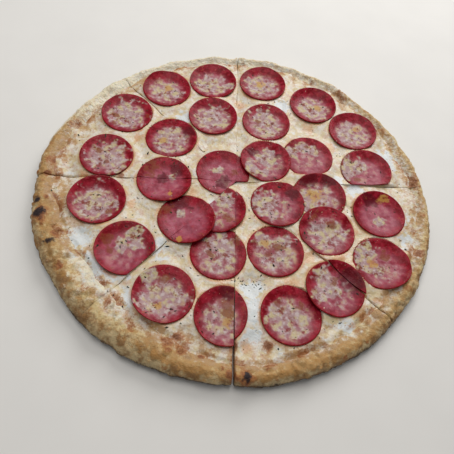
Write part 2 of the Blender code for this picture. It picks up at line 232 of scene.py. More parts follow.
class Relief:
    """Smooth noise in space, the same each run."""

    cells = 1024
    level = 1.6

    def __init__(self, seed: int) -> None:
        """Draw the slopes and the chances that the cells of space use.

        Args:
            seed: The seed of the draw.
        """
        draw = np.random.default_rng(seed)
        slopes = draw.normal(size=(self.cells, 3))
        self.slopes = slopes / np.linalg.norm(slopes, axis=1, keepdims=True)
        self.order = draw.permutation(self.cells)
        self.chances = draw.random((self.cells, 4))

    def _draw_of(self, cells: Array) -> Array:
        """Return the number of the draw that each cell of space uses."""
        return reduce(lambda number, column: self.order[(number + column) % self.cells], cells.T, 0)

    def waves(self, points: Array, span: float) -> Array:
        """Return smooth waves.

        Args:
            points: Places in space, one a row.
            span: How wide the bumps are.

        Returns:
            Values from about -1 to 1.
        """
        scaled = points / span
        low = np.floor(scaled).astype(int)
        part = scaled - low
        blend = part ** 3 * (part * (part * 6.0 - 15.0) + 10.0)
        total = np.zeros(len(points))
        for corner in itertools.product((0, 1), repeat=3):
            step = np.array(corner)
            slope = self.slopes[self._draw_of(low + step)]
            weight = np.prod(np.where(step == 1, blend, 1.0 - blend), axis=1)
            total += weight * np.einsum("ij,ij->i", slope, part - step)
        return self.level * total

    def crags(self, points: Array, span: float, layers: int = 3) -> Array:
        """Return waves with finer and lower layers on them, each half as wide as the one before."""
        return sum(0.5 ** layer * self.waves(points, span * 0.5 ** layer) for layer in range(layers))

    def bubbles(self, points: Array, span: float) -> tuple[Array, Array]:
        """Return round-topped swellings of mixed sizes.

        Args:
            points: Places in space, one a row.
            span: The mean distance between swellings.

        Returns:
            0 between them and up to 1 on top of the largest, and a tone from 0 to 1 that each has of its own.
        """
        scaled = points / span
        low = np.floor(scaled).astype(int)
        best, tone = np.zeros(len(points)), np.zeros(len(points))
        for corner in itertools.product((-1, 0, 1), repeat=3):
            cell = low + np.array(corner)
            chance = self.chances[self._draw_of(cell)]
            away = np.linalg.norm(cell + 0.2 + 0.6 * chance[:, :3] - scaled, axis=1)
            reach = 0.15 + 0.50 * chance[:, 3]
            rise = np.clip(1.0 - (away / reach) ** 2, 0.0, 1.0) * reach / 0.65
            tone = np.where(rise > best, chance[:, 0], tone)
            best = np.maximum(best, rise)
        return best, tone

    def spots(self, spots: Spots, mark: Mark, x: Array, y: Array,
              middle: tuple[float, float] = (0.0, 0.0)) -> Array:
        """Return how strongly the spots of one mark show at each place, with ragged edges.

        Args:
            spots: The spots.
            mark: The mark.
            x: Places along X.
            y: Places along Y.
            middle: What the spots' places are measured from, in millimetres.

        Returns:
            1 in the middle of a spot, falling to 0 a little outside it.
        """
        places = flat_points(x, y, 0.05)
        ragged = np.maximum(0.3, 1.0 + 0.55 * self.waves(places, 0.0065) + 0.35 * self.waves(places, 0.0026))
        share = np.zeros(x.shape)
        for spot_x, spot_y, size in spots.get(mark, ()):
            across = x - (middle[0] + spot_x) * MILLIMETRE
            along = y - (middle[1] + spot_y) * MILLIMETRE
            radius = 0.5 * size * MILLIMETRE
            away = np.hypot(across, along) * ragged.reshape(x.shape)
            share = np.maximum(share, 1.0 - smooth(away, 0.30 * radius, 1.45 * radius))
        return share


def flat_points(x: Array, y: Array, layer: float = 0.0) -> Array:
    """Return places in one level sheet of space, one a row."""
    return np.stack((x.ravel(), y.ravel(), np.full(x.size, layer)), axis=1)


# The form that all layers share.

@dataclass(frozen=True)
class PieForm:
    """The uneven form of the pie: even sizes, bent by the same warp for crust, cheese and pepperoni."""

    radius: float = 0.178
    rim_width: float = 0.020
    rim_height: float = 0.0150
    shore_height: float = 0.0110
    foot_height: float = 0.0086
    bed_height: float = 0.0050
    cheese_bottom: float = 0.0064
    cheese_top: float = 0.0100
    shoulder: float = 0.0008
    lip_height: float = 0.0012
    shore_in: float = 0.008
    shore_out: float = 0.004
    lump: float = 0.0024
    edge_lump: float = 0.0009
    wave: float = 0.0006
    outline: tuple[float, ...] = (
        0.1805, 0.1805, 0.1785, 0.1775, 0.1775, 0.1765, 0.1755, 0.1745,
        0.1737, 0.1733, 0.1757, 0.1770, 0.1800, 0.1780, 0.1790, 0.1773,
        0.1783, 0.1775, 0.1758, 0.1770, 0.1770, 0.1780, 0.1776, 0.1795,
    )
    rim_widths: tuple[float, ...] = (
        0.016, 0.016, 0.015, 0.014, 0.014, 0.013, 0.013, 0.013,
        0.014, 0.015, 0.018, 0.020, 0.019, 0.021, 0.028, 0.032,
        0.032, 0.030, 0.020, 0.017, 0.018, 0.021, 0.021, 0.018,
    )
    rim_heights: tuple[float, ...] = (
        0.0135, 0.0130, 0.0130, 0.0125, 0.0130, 0.0140,
        0.0145, 0.0155, 0.0160, 0.0150, 0.0145, 0.0145,
    )
    lumps: HeightMap = field(default_factory=lambda: HeightMap(waviness(span=0.021, layer=3.0)))
    bends: HeightMap = field(default_factory=lambda: HeightMap(waviness(span=0.021, layer=7.0)))
    waves: HeightMap = field(default_factory=lambda: HeightMap(waviness(span=0.045, layer=5.0)))

    @cached_property
    def foot(self) -> float:
        """Return the radius of the rim's inner foot."""
        return self.radius - self.rim_width

    @cached_property
    def rim_points(self) -> Array:
        """List radius and height along the crust.

        Returns:
            The places, one a row, from the foot's inner side over the crest to the underside.
        """
        slope = (
            (-self.shore_in, self.bed_height), (0.0, self.foot_height), (self.shore_out, self.shore_height))
        crest = ((0.40, 0.0132), (0.62, self.rim_height), (0.80, 0.0139), (0.93, 0.0110))
        edge = ((0.0, 0.0070), (0.0008, 0.0032), (0.0040, 0.0009), (0.0090, 0.0))
        return np.array((
            *((self.foot + out, height) for out, height in slope),
            *((self.foot + share * self.rim_width, height) for share, height in crest),
            *((self.radius - inward, height) for inward, height in edge),
        ))

    @cached_property
    def rim_curve(self) -> Array:
        """Return the rounded section of the rim, from the foot's inner side to the underside."""
        return curve_through(self.rim_points, 8)

    @cached_property
    def even_rim(self) -> tuple[float, float]:
        """Return the even radius of the rim's foot and the room from the shore to the edge."""
        return self.foot, self.rim_width - self.shore_out

    def uneven_rim(self, angle: Array) -> tuple[Array, Array]:
        """Find the uneven form of the rim.

        Args:
            angle: Angles about the middle.

        Returns:
            The radius of the rim's foot there, and the room from the shore to the edge.
        """
        edge = around(self.outline, angle)
        foot = edge - around(self.rim_widths, angle)
        return foot, edge - foot - self.shore_out

    def stretched(self, radius: Array, rim: tuple, new_rim: tuple) -> Array:
        """Take radii from one form of the rim to another.

        Args:
            radius: The radii.
            rim: The foot's radius and the room from the shore to the edge.
            new_rim: The same for the other form.

        Returns:
            The new radii.
        """
        (foot, room), (new_foot, new_room) = rim, new_rim
        inside = radius * (new_foot - self.shore_in) / (foot - self.shore_in)
        shore = new_foot + radius - foot
        outside = new_foot + self.shore_out + (radius - foot - self.shore_out) / room * new_room
        inner = radius <= foot - self.shore_in
        return np.where(inner, inside, np.where(radius <= foot + self.shore_out, shore, outside))

    def spread(self, radius: Array, angle: Array) -> Array:
        """Return how far from the middle the warp puts even radii at angles."""
        return self.stretched(radius, self.even_rim, self.uneven_rim(angle))

    def even_radius(self, x: Array, y: Array) -> Array:
        """Return the radii of the even pie that the warp puts at places, the other way round from spread."""
        return self.stretched(np.hypot(x, y), self.uneven_rim(np.arctan2(y, x)), self.even_rim)

    def climb(self, radius: Array) -> Array:
        """Return how far up the rim's inner slope an even radius is, from 0 to 1."""
        return smooth(radius, self.foot - self.shore_in, self.foot + 1.5 * self.shore_out)

    def lifted(self, height: Array, x: Array, y: Array, radius: Array) -> Array:
        """Return the uneven height of places that were turned at an even height.

        Args:
            height: Even heights.
            x: Places along X.
            y: Places along Y.
            radius: Their even radii.

        Returns:
            The uneven heights.
        """
        climb = self.climb(radius)
        tall = 1.0 + (around(self.rim_heights, np.arctan2(y, x)) / self.rim_height - 1.0) * climb
        lump = self.lump * climb * np.minimum(height / self.cheese_bottom, 1.0) * self.lumps.at(x, y)
        on_top = smooth(height, 0.75 * self.cheese_top, 0.95 * self.cheese_top)
        wave = self.wave * (1.0 - climb) * on_top * self.waves.at(x, y)
        return height * tall + lump + wave

    def warped(self, radius: Array, angle: Array, height: Array) -> Array:
        """Return where the warp puts places of the even pie.

        Args:
            radius: Even radii.
            angle: Their angles.
            height: Even heights.

        Returns:
            The places, with x, y and z along the last axis.
        """
        distance = self.spread(radius, angle)
        x, y = distance * np.cos(angle), distance * np.sin(angle)
        outside = smooth(radius, self.foot + self.shore_out, self.radius)
        distance = distance + self.edge_lump * outside * self.bends.at(x, y)
        z = self.lifted(height, x, y, radius)
        return np.stack((distance * np.cos(angle), distance * np.sin(angle), z), axis=-1)

    def crust_height(self, radius: Array) -> Array:
        """Return the crust's even height at an even radius."""
        crest = self.rim_curve[:int(np.argmax(self.rim_curve[:, 0])) + 1]
        return np.interp(radius, crest[:, 0], crest[:, 1])

    def cheese_height(self, radius: Array) -> Array:
        """Find how high the cheese would be if it went on over the whole rim.

        Args:
            radius: Even radii.

        Returns:
            The even heights there.
        """
        rise = smooth(radius, self.foot - self.shore_in, self.foot + self.shore_out)
        level = self.cheese_top + (self.shore_height - self.cheese_top + self.lip_height) * rise
        return np.maximum(level, self.crust_height(radius) + self.lip_height)

    def resting_height(self, x: Array, y: Array) -> Array:
        """Find how high the plain upper surface is, on which toppings rest.

        Args:
            x: Places along X.
            y: Places along Y.

        Returns:
            The heights there.
        """
        radius = self.even_radius(x, y)
        section = np.vstack((
            (self.foot - self.shore_in, self.cheese_top),
            (self.foot, self.cheese_top + self.shoulder),
            (self.foot + self.shore_out, self.shore_height + self.lip_height),
            self.rim_points[3:8],
        ))
        return self.lifted(np.interp(radius, section[:, 0], section[:, 1]), x, y, radius)


# The cuts and the slices between them.

@dataclass(frozen=True)
class Cut:
    """One cut, from the cut point out over the rim, and how far it stands open along the way.

    The opening is pairs of distance and half width, in millimetres.
    """

    angle: float
    opening: tuple[tuple[float, float], ...]

    @property
    def turn(self) -> float:
        """Return the cut's direction in radians."""
        return math.radians(self.angle)

    def half_width(self, distance: Array) -> Array:
        """Return half the width of the gap at distances from the cut point."""
        places, widths = zip(*self.opening)
        return np.interp(distance / MILLIMETRE, places, widths) * MILLIMETRE

    def aside(self, x: Array, y: Array) -> Array:
        """Return how far places lie to the left of the cut's line."""
        return (y - CUT_POINT[1]) * math.cos(self.turn) - (x - CUT_POINT[0]) * math.sin(self.turn)

    def ahead(self, x: Array, y: Array) -> Array:
        """Return how far places lie from the cut point, along the cut's direction."""
        return (x - CUT_POINT[0]) * math.cos(self.turn) + (y - CUT_POINT[1]) * math.sin(self.turn)


CUT_POINT = (-0.0010, 0.0025)
CUTS = {
    "a": Cut(11.0, ((0, 0.02), (118, 0.02), (130, 0.40), (150, 0.35), (162, 0.12), (200, 0.2))),
    "b": Cut(98.0, ((0, 0.02), (145, 0.02), (156, 0.30), (168, 0.35), (176, 0.20), (200, 0.2))),
    "c": Cut(142.5, ((0, 0.02), (60, 0.10), (95, 0.03), (118, 0.25), (165, 0.20), (200, 0.2))),
    "d": Cut(190.5, ((0, 0.02), (40, 0.20), (90, 0.25), (105, 0.03), (140, 0.45), (200, 0.6))),
    "e": Cut(237.5, ((0, 0.02), (60, 0.15), (80, 0.25), (100, 0.15), (150, 0.05), (200, 0.2))),
    "f": Cut(278.0, ((0, 0.02), (85, 0.03), (100, 0.15), (125, 0.35), (145, 0.50), (154, 0.95), (200, 1.1))),
    "g": Cut(323.0, ((0, 0.02), (80, 0.03), (120, 0.35), (160, 0.40), (200, 0.5))),
}


@dataclass(frozen=True)
class Wedge:
    """One slice of the pizza, between two cuts."""

    letter: str
    start: Cut
    end: Cut
    tip: float = 0.0008
    borders: tuple[float, ...] = (0.0, 0.00015, 0.0004, 0.0008, 0.0014)
    widest_share: float = 0.4
    open_enough: tuple[float, float] = (0.0001, 0.0004)

    @property
    def angle(self) -> float:
        """Return how wide the slice is, in radians."""
        return math.radians((self.end.angle - self.start.angle) % 360.0)

    def turns(self, distance: Array, spacing: float, reach: float) -> Array:
        """Return the directions, seen from the cut point, of a grid's columns along each of its rows.

        Args:
            distance: How far each row is from the cut point.
            spacing: The wanted distance between columns at the reach.
            reach: The distance at which the columns have that spacing.

        Returns:
            The directions in radians, rows by columns.
        """
        rows = distance[:, None]
        count = max(4, int(round(self.angle * reach / spacing)))
        borders = np.array(self.borders)[None, :]
        room = rows * math.sin(self.widest_share * self.angle)

        def border(cut: Cut) -> Array:
            """Return how far round from a cut its border columns are."""
            width = cut.half_width(rows)
            return np.arcsin((width + borders) * np.minimum(1.0, room / (width + self.borders[-1])) / rows)

        first = self.start.turn + border(self.start)
        last = self.start.turn + self.angle - border(self.end)
        shares = np.linspace(0.0, 1.0, count + 1)[None, 1:-1]
        inner = first[:, -1:] * (1.0 - shares) + last[:, -1:] * shares
        return np.hstack((first, inner, last[:, ::-1]))

    def rounding(self, x: Array, y: Array, depth: float, reach: float) -> Array:
        """Find how far the edges beside open cuts are rounded off.

        Args:
            x: Places along X.
            y: Places along Y.
            depth: How far they are at the cut.
            reach: How far from the cut that ends.

        Returns:
            The distances.
        """
        distance = np.hypot(x - CUT_POINT[0], y - CUT_POINT[1])
        open_start, open_end = self.start.half_width(distance), self.end.half_width(distance)
        from_start = self.start.aside(x, y) - open_start
        from_end = -self.end.aside(x, y) - open_end
        if self.angle > 0.25 * TURN:
            from_end = np.where(self.end.ahead(x, y) < 0.0, distance, from_end)
        nearest = np.minimum(from_start, from_end)
        opening = np.where(from_start < from_end, open_start, open_end)
        return depth * smooth(opening, *self.open_enough) * (1.0 - np.clip(nearest / reach, 0.0, 1.0)) ** 2


# The seven slices of the pizza, from the right round to the left.
WEDGES = [Wedge(here, CUTS[here], CUTS[after]) for here, after in zip("abcdefg", "bcdefga")]


def from_cut_point(distance: Array, turn: Array) -> tuple[Array, Array]:
    """Return x and y of places at distances from the cut point, in the directions of rays."""
    return CUT_POINT[0] + distance * np.cos(turn), CUT_POINT[1] + distance * np.sin(turn)


def on_ray(form: PieForm, turn: Array, radius: Array) -> tuple[Array, Array]:
    """Find where rays from the cut point meet circles of the even pie.

    Args:
        form: The form of the pie.
        turn: The rays' directions.
        radius: The even radii that they meet.

    Returns:
        The angles about the middle of the pie, and the distances from the cut point.
    """
    across, along = CUT_POINT
    toward = across * np.cos(turn) + along * np.sin(turn)
    angle = turn + 0.0 * radius
    for _ in range(3):
        distance = form.spread(radius, angle)
        reach = -toward + np.sqrt(toward ** 2 - across ** 2 - along ** 2 + distance ** 2)
        angle = np.arctan2(along + reach * np.sin(turn), across + reach * np.cos(turn))
    return angle, reach


# Meshes.

def zipped(upper: Array, upper_at: Array, lower: Array, lower_at: Array) -> list[tuple[int, int, int]]:
    """Join two chains of corners that run side by side by a strip of triangles.

    Args:
        upper: The corners of the upper chain.
        upper_at: How far along each of them is.
        lower: The corners of the lower chain.
        lower_at: How far along each of them is.

    Returns:
        The triangles. They face the viewer who sees the chains run to the right.
    """
    faces = []
    high, low = 0, 0
    while high < len(upper) - 1 or low < len(lower) - 1:
        more_high = high < len(upper) - 1
        if more_high and (low == len(lower) - 1 or upper_at[high + 1] <= lower_at[low + 1]):
            faces.append((int(lower[low]), int(upper[high + 1]), int(upper[high])))
            high += 1
        else:
            faces.append((int(lower[low]), int(lower[low + 1]), int(upper[high])))
            low += 1
    return faces


def lofted(name: str, grid: Array, split: int) -> Mesh:
    """Skin a closed loop of rows and close both of its ends.

    Args:
        name: The mesh's name.
        grid: The corners, rows by columns by three. The rows run outward over the top and back underneath,
            and the columns run round to the left.
        split: The last row of the upper side.

    Returns:
        The mesh, with its faces pointing out.
    """
    rows, columns, _ = grid.shape
    index = np.arange(rows * columns).reshape(rows, columns)
    after = np.roll(index, -1, axis=0)
    quads = np.stack((index[:, :-1], after[:, :-1], after[:, 1:], index[:, 1:]), axis=-1).reshape(-1, 4)
    faces = [tuple(quad) for quad in quads.tolist()]
    for column, turned_round in ((0, False), (columns - 1, True)):
        away = np.hypot(grid[:, column, 0] - CUT_POINT[0], grid[:, column, 1] - CUT_POINT[1])
        upper, lower = index[:split + 1, column], index[:split:-1, column]
        cap = zipped(upper, away[:split + 1], lower, away[:split:-1])
        faces += [face[::-1] for face in cap] if turned_round else cap
    mesh = bpy.data.meshes.new(name)
    mesh.from_pydata(grid.reshape(-1, 3).tolist(), [], faces)
    mesh.update()
    return mesh


def set_values(mesh: Mesh, name: str, values: Array) -> None:
    """Give each corner of a mesh a number under a name."""
    layer = mesh.attributes.new(name, "FLOAT", "POINT")
    layer.data.foreach_set("value", np.ascontiguousarray(values, dtype=np.float32).ravel())


def set_marks(mesh: Mesh, marks: dict[Mark, Array]) -> None:
    """Give each corner of a mesh its marks, which its material reads."""
    for mark, values in marks.items():
        set_values(mesh, mark.value, np.clip(values, 0.0, 1.2))


def corners_of(mesh: Mesh) -> Array:
    """Read a mesh's corners.

    Args:
        mesh: The mesh.

    Returns:
        The places, one a row.
    """
    flat = np.empty(len(mesh.vertices) * 3, dtype=np.float32)
    mesh.vertices.foreach_get("co", flat)
    return flat.reshape(-1, 3).astype(float)


def keep_in_box(points: Array) -> Array:
    """Return points, x, y and z along the last axis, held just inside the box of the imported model."""
    low, high = (np.array(corner) for corner in CAD_BOX)
    return np.clip(points, low + (BOX_MARGIN, BOX_MARGIN, 0.0), high - BOX_MARGIN)


def move_corners(mesh: Mesh, points: Array) -> None:
    """Put a mesh's corners at new places, held just inside the box."""
    mesh.vertices.foreach_set("co", keep_in_box(points).astype(np.float32).ravel())
    mesh.update()


def placed_object(name: str, data: Any) -> Piece:
    """Return a new object of the scene that shows some data."""
    bpy.context.scene.collection.objects.link(made := bpy.data.objects.new(name, data))
    return made


def show(name: str, mesh: Mesh, material: Material, food: Food, nodes: list[str],
         sharp: float = 45.0) -> Piece:
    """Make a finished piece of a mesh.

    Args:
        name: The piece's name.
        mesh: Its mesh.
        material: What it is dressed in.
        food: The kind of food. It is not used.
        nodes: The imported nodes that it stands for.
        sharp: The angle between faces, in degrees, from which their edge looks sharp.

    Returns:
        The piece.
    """
    piece = placed_object(name, mesh)
    mesh.materials.clear()
    mesh.materials.append(material)
    mesh.shade_smooth()
    mesh.set_sharp_from_angle(angle=math.radians(sharp))
    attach(piece, BODY)
    if nodes:
        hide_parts(*nodes)
    LOG.info("%s: %d faces", name, len(mesh.polygons))
    return piece


# Node trees.

def maths(operation: str, swapped: bool = False) -> Callable[..., "Signal"]:
    """Make a method of signals that adds a Math node.

    Args:
        operation: What the node does.
        swapped: Whether the signal is its second value and not its first.

    Returns:
        The method.
    """
    def method(self: "Signal", other: Any = 0.0) -> "Signal":
        """Return the node's result."""
        values = (other, self) if swapped else (self, other)
        return self.sheet.node("ShaderNodeMath", {"operation": operation}, dict(enumerate(values)))
    return method


class Signal:
    """One value in a node tree. Arithmetic on it adds Math nodes."""

    __add__ = __radd__ = maths("ADD")
    __sub__, __rsub__ = maths("SUBTRACT"), maths("SUBTRACT", swapped=True)
    __mul__ = __rmul__ = maths("MULTIPLY")
    __truediv__, __pow__, __abs__ = maths("DIVIDE"), maths("POWER"), maths("ABSOLUTE")
    sine, cosine, root, sign, at_most = map(maths, ("SINE", "COSINE", "SQRT", "SIGN", "MINIMUM"))

    def __init__(self, sheet: "Sheet", socket: bpy.types.NodeSocket) -> None:
        """Keep the tree and the socket that gives the value."""
        self.sheet = sheet
        self.socket = socket

    def step(self, low: float, high: float) -> "Signal":
        """Return 0 up to low, 1 from high and an even S between them."""
        return self.sheet.node("ShaderNodeMapRange", {"interpolation_type": "SMOOTHSTEP"}, {
            "Value": self, "From Min": low, "From Max": high})


class Sheet:
    """A node tree with the few calls that this file's trees are made by."""

    def __init__(self, tree: bpy.types.NodeTree) -> None:
        """Keep the tree."""
        self.tree = tree

    def node(self, kind: str, settings: dict[str, Any] | None = None, inputs: dict[Any, Any] | None = None,
             output: str | int = 0) -> Signal:
        """Add a node.

        Args:
            kind: The node's type.
            settings: Its settings, made first.
            inputs: The values or signals of its sockets, by name or number.
            output: The socket whose signal is returned.

        Returns:
            The signal of that socket.
        """
        made = self.tree.nodes.new(kind)
        for name, value in (settings or {}).items():
            setattr(made, name, value)
        for key, value in (inputs or {}).items():
            if isinstance(value, Signal):
                self.tree.links.new(value.socket, made.inputs[key])
            else:
                made.inputs[key].default_value = value
        return Signal(self, made.outputs[output] if made.outputs else None)

    def vector(self, *parts: Signal) -> Signal:
        """Return a vector of one to three signals."""
        return self.node("ShaderNodeCombineXYZ", inputs=dict(enumerate(parts)))


class Paint(Sheet):
    """The node tree of one material."""

    def __init__(self, name: str, constants: dict[str, Any]) -> None:
        """Start a Principled material.

        Args:
            name: The material's name.
            constants: What is the same all over, by the shader's sockets.
        """
        self.material = bpy.data.materials.new(name)
        self.material.use_nodes = True
        super().__init__(self.material.node_tree)
        self.shader = self.tree.nodes["Principled BSDF"]
        for socket, value in constants.items():
            self.shader.inputs[socket].default_value = value
        self.place = self.node("ShaderNodeTexCoord", output="Object")

    def feed(self, socket: str, value: Signal) -> None:
        """Let a signal drive one of the shader's sockets."""
        self.tree.links.new(value.socket, self.shader.inputs[socket])

    def mark(self, mark: Mark) -> Signal:
        """Return how strongly the mesh's corners carry a mark."""
        return self.node("ShaderNodeAttribute", {"attribute_name": mark.value}, output="Fac")

    def grain(self, span: float, detail: float = 2.0, shift: float = 0.0) -> Signal:
        """Return smooth noise, stretched so that it nearly fills 0 to 1.

        Args:
            span: How wide its bumps are, in metres.
            detail: How many finer layers it has.
            shift: Where in the noise it is read, so that two grains differ.

        Returns:
            The noise.
        """
        place = self.node("ShaderNodeVectorMath", inputs={0: self.place, 1: (shift, shift, 0.0)})
        noisy = self.node("ShaderNodeTexNoise", inputs={
            "Vector": place, "Scale": 1.0 / span, "Detail": detail})
        return self.node("ShaderNodeMapRange", inputs={"Value": noisy, "From Min": 0.30, "From Max": 0.70})

    def ragged(self, mark: Mark, low: float, high: float, *grains: tuple[Signal, float]) -> Signal:
        """Return a mark with an uneven edge.

        Args:
            mark: The mark.
            low: The value that gives 0.
            high: The value that gives 1.
            grains: What makes it uneven, each with its strength.

        Returns:
            How strongly it shows, from 0 to 1.
        """
        value = self.mark(mark)
        for grain, strength in grains:
            value = value + strength * (grain - 0.5)
        return value.step(low, high)

    def coats(self, ground: Signal | tuple, *coats: tuple[Signal | tuple, Signal]) -> Signal:
        """Return a colour with others laid over it.

        Args:
            ground: The lowest colour, as a signal, a Tint or four linear channels.
            coats: The others from the lowest up, each with how much of it shows.

        Returns:
            The mixed colour.
        """
        for coat, share in coats:
            under, over = (colour(*tint) if isinstance(tint, tuple) and len(tint) == 3 else tint
                           for tint in (ground, coat))
            ground = self.node("ShaderNodeMix", {"data_type": "RGBA"}, {0: share, 6: under, 7: over}, 2)
        return ground

    def bump(self, height: Signal, distance: float, strength: float = 1.0) -> None:
        """Let a height from 0 to 1 drive the shader's normal. The distance is what 1 is, in metres."""
        inputs = {"Height": height, "Distance": distance, "Strength": strength}
        self.feed("Normal", self.node("ShaderNodeBump", inputs=inputs))


def colour(*tint: int) -> tuple[float, ...]:
    """Return the linear colour of a screen colour from 0 to 255."""
    parts = (value / 255.0 for value in tint)
    return (*(part / 12.92 if part <= 0.04045 else ((part + 0.055) / 1.055) ** 2.4 for part in parts), 1.0)


@dataclass(frozen=True)
class Toast:
    """What the oven does to cheese and bread alike: gold, amber and dark brown blotches."""

    gold: Tint = (180, 134, 76)
    amber: Tint = (166, 104, 60)
    dark: Tint = (122, 72, 46)

    def over(self, paint: Paint, ground: Signal) -> Signal:
        """Return a colour with the blotches on it.

        Args:
            paint: The material's tree.
            ground: The colour below.

        Returns:
            The new colour.
        """
        middle, fine = paint.grain(0.0042, 3.0, shift=0.15), paint.grain(0.0014, 2.0, shift=0.25)
        grains = (middle, 0.5), (fine, 0.35)
        return paint.coats(
            ground, (self.gold, paint.ragged(GOLD, 0.20, 0.75, (middle, 0.6), (fine, 0.3)) * 0.8),
            (self.amber, paint.ragged(BROWN, 0.28, 0.85, *grains) * 0.85),
            (self.dark, paint.ragged(BROWN, 0.72, 1.15, *grains) * 0.8))


@dataclass(frozen=True)
class CheeseFinish:
    """Melted cheese: cream, paler where it is thick, orange with oil by the pepperoni, toasted by the rim."""

    cream: Tint = (218, 200, 160)
    milk: Tint = (226, 218, 204)
    pale: Tint = (222, 228, 230)
    shade: Tint = (192, 164, 134)
    blush: Tint = (212, 178, 158)
    oily: Tint = (212, 154, 96)
    roughness: float = 0.38

    def ground(self, paint: Paint) -> Signal:
        """Mix the colour of cheese that isn't toasted.

        Args:
            paint: The material's tree.

        Returns:
            The colour.
        """
        wide, middle = paint.grain(0.011, 3.0), paint.grain(0.0042, 2.0, shift=0.3)
        other, fine = paint.grain(0.0055, 2.0, shift=0.6), paint.grain(0.0018, 2.0)
        return paint.coats(
            self.cream, (self.milk, (wide * 0.4 + middle * 0.6).step(0.25, 0.70)),
            (self.shade, (other * 0.5 + fine * 0.5).step(0.58, 0.90) * 0.7),
            (self.blush, other.step(0.55, 0.9) * 0.55),
            (self.pale, paint.ragged(PALE, 0.25, 0.75, (middle, 0.6), (fine, 0.2)) * 0.88),
            (self.oily, paint.ragged(OIL, 0.18, 0.95, (middle, 0.5), (fine, 0.2)) * 0.75))

    def material(self) -> Material:
        """Make the material.

        Returns:
            The finished material.
        """
        paint = Paint("melted_cheese", {
            "Subsurface Weight": 0.06, "Subsurface Scale": 0.004, "Subsurface Radius": (1.0, 0.8, 0.6),
            "Coat Roughness": 0.25, "IOR": 1.42})
        middle, fine, oil = paint.grain(0.0042, 2.0, shift=0.3), paint.grain(0.0018, 2.0), paint.mark(OIL)
        paint.feed("Base Color", Toast().over(paint, self.ground(paint)))
        paint.feed("Roughness", self.roughness + 0.16 * (fine - 0.5) + 0.15 * paint.mark(BROWN) - 0.10 * oil)
        paint.feed("Coat Weight", 0.08 + 0.30 * oil)
        paint.bump(middle * 0.6 + fine * 0.4, 0.0006, 0.7)
        return paint.material


@dataclass(frozen=True)
class CrustFinish:
    """Baked bread: beige dough with baked-on cheese and toasted blotches, a pale outer edge of flour and
    painted light, and painted shade low on the outer side.
    """

    dough: Tint = (204, 180, 136)
    tan: Tint = (148, 110, 68)
    custard: Tint = (216, 190, 134)
    # Pale flour, partly real and partly painted light that brightens the shaded back rim.
    flour_and_painted_light_tint: Tint = (242, 232, 204)
    # Painted shade for the lower outer side of the rim.
    painted_shade_tint: Tint = (76, 62, 48)
    char: Tint = (46, 32, 34)
    roughness: float = 0.74

    def material(self) -> Material:
        """Make the material.

        Returns:
            The finished material.
        """
        paint = Paint("baked_crust", {"Subsurface Weight": 0.04, "Subsurface Scale": 0.003, "IOR": 1.40})
        wide, middle = paint.grain(0.013, 3.0, shift=0.1), paint.grain(0.0045, 4.0, shift=0.2)
        fine, dust = paint.grain(0.0013, 3.0, shift=0.5), paint.grain(0.0006, 1.0, shift=0.7)
        bread = paint.coats(self.dough, (self.tan, (wide * 0.6 + middle * 0.4).step(0.30, 0.72)))
        baked = paint.ragged(MELT, 0.30, 0.62, (middle, 0.6), (fine, 0.3))
        far = (1.0 - paint.mark(FILM) + 0.6 * (wide - 0.5)).step(0.1, 0.9)
        custard = paint.coats(self.custard, (self.tan, (wide * 0.5 + middle * 0.5).step(0.50, 0.85) * 0.6))
        melted = paint.coats(CheeseFinish().ground(paint), (custard, far * 0.85))
        ground = paint.coats(
            Toast().over(paint, paint.coats(bread, (melted, baked))),
            # Pale flour, partly painted light that brightens the shaded back rim.
            (self.flour_and_painted_light_tint, paint.ragged(PALE, 0.25, 0.80, (dust, 0.3), (middle, 0.5)) * 0.85),
            # Painted shade on the lower outer side of the rim.
            (self.painted_shade_tint, paint.ragged(DARK, 0.1, 0.9, (fine, 0.5))),
            (self.char, paint.ragged(SCORCH, 0.25, 0.90, (middle, 0.5), (fine, 0.3))))
        paint.feed("Base Color", ground)
        paint.feed("Roughness", self.roughness - 0.25 * baked + 0.2 * (fine - 0.5))
        paint.bump(middle * 0.6 + fine * 0.3 + dust * 0.1, 0.0013, 0.8)
        return paint.material


@dataclass(frozen=True)
class SauceFinish:
    """Moist tomato sauce with pulp in it."""

    red: Tint = (150, 62, 38)
    pulp: Tint = (112, 36, 22)
    roughness: float = 0.35

    def material(self) -> Material:
        """Make the material.

        Returns:
            The finished material.
        """
        paint = Paint("tomato_sauce", {"Coat Weight": 0.4, "Coat Roughness": 0.2, "IOR": 1.40})
        pulp = paint.grain(0.0022, 3.0)
        paint.feed("Base Color", paint.coats(self.red, (self.pulp, pulp.step(0.25, 0.80))))
        paint.feed("Roughness", self.roughness + 0.3 * (pulp - 0.5))
        paint.bump(pulp, 0.0006, 0.7)
        return paint.material


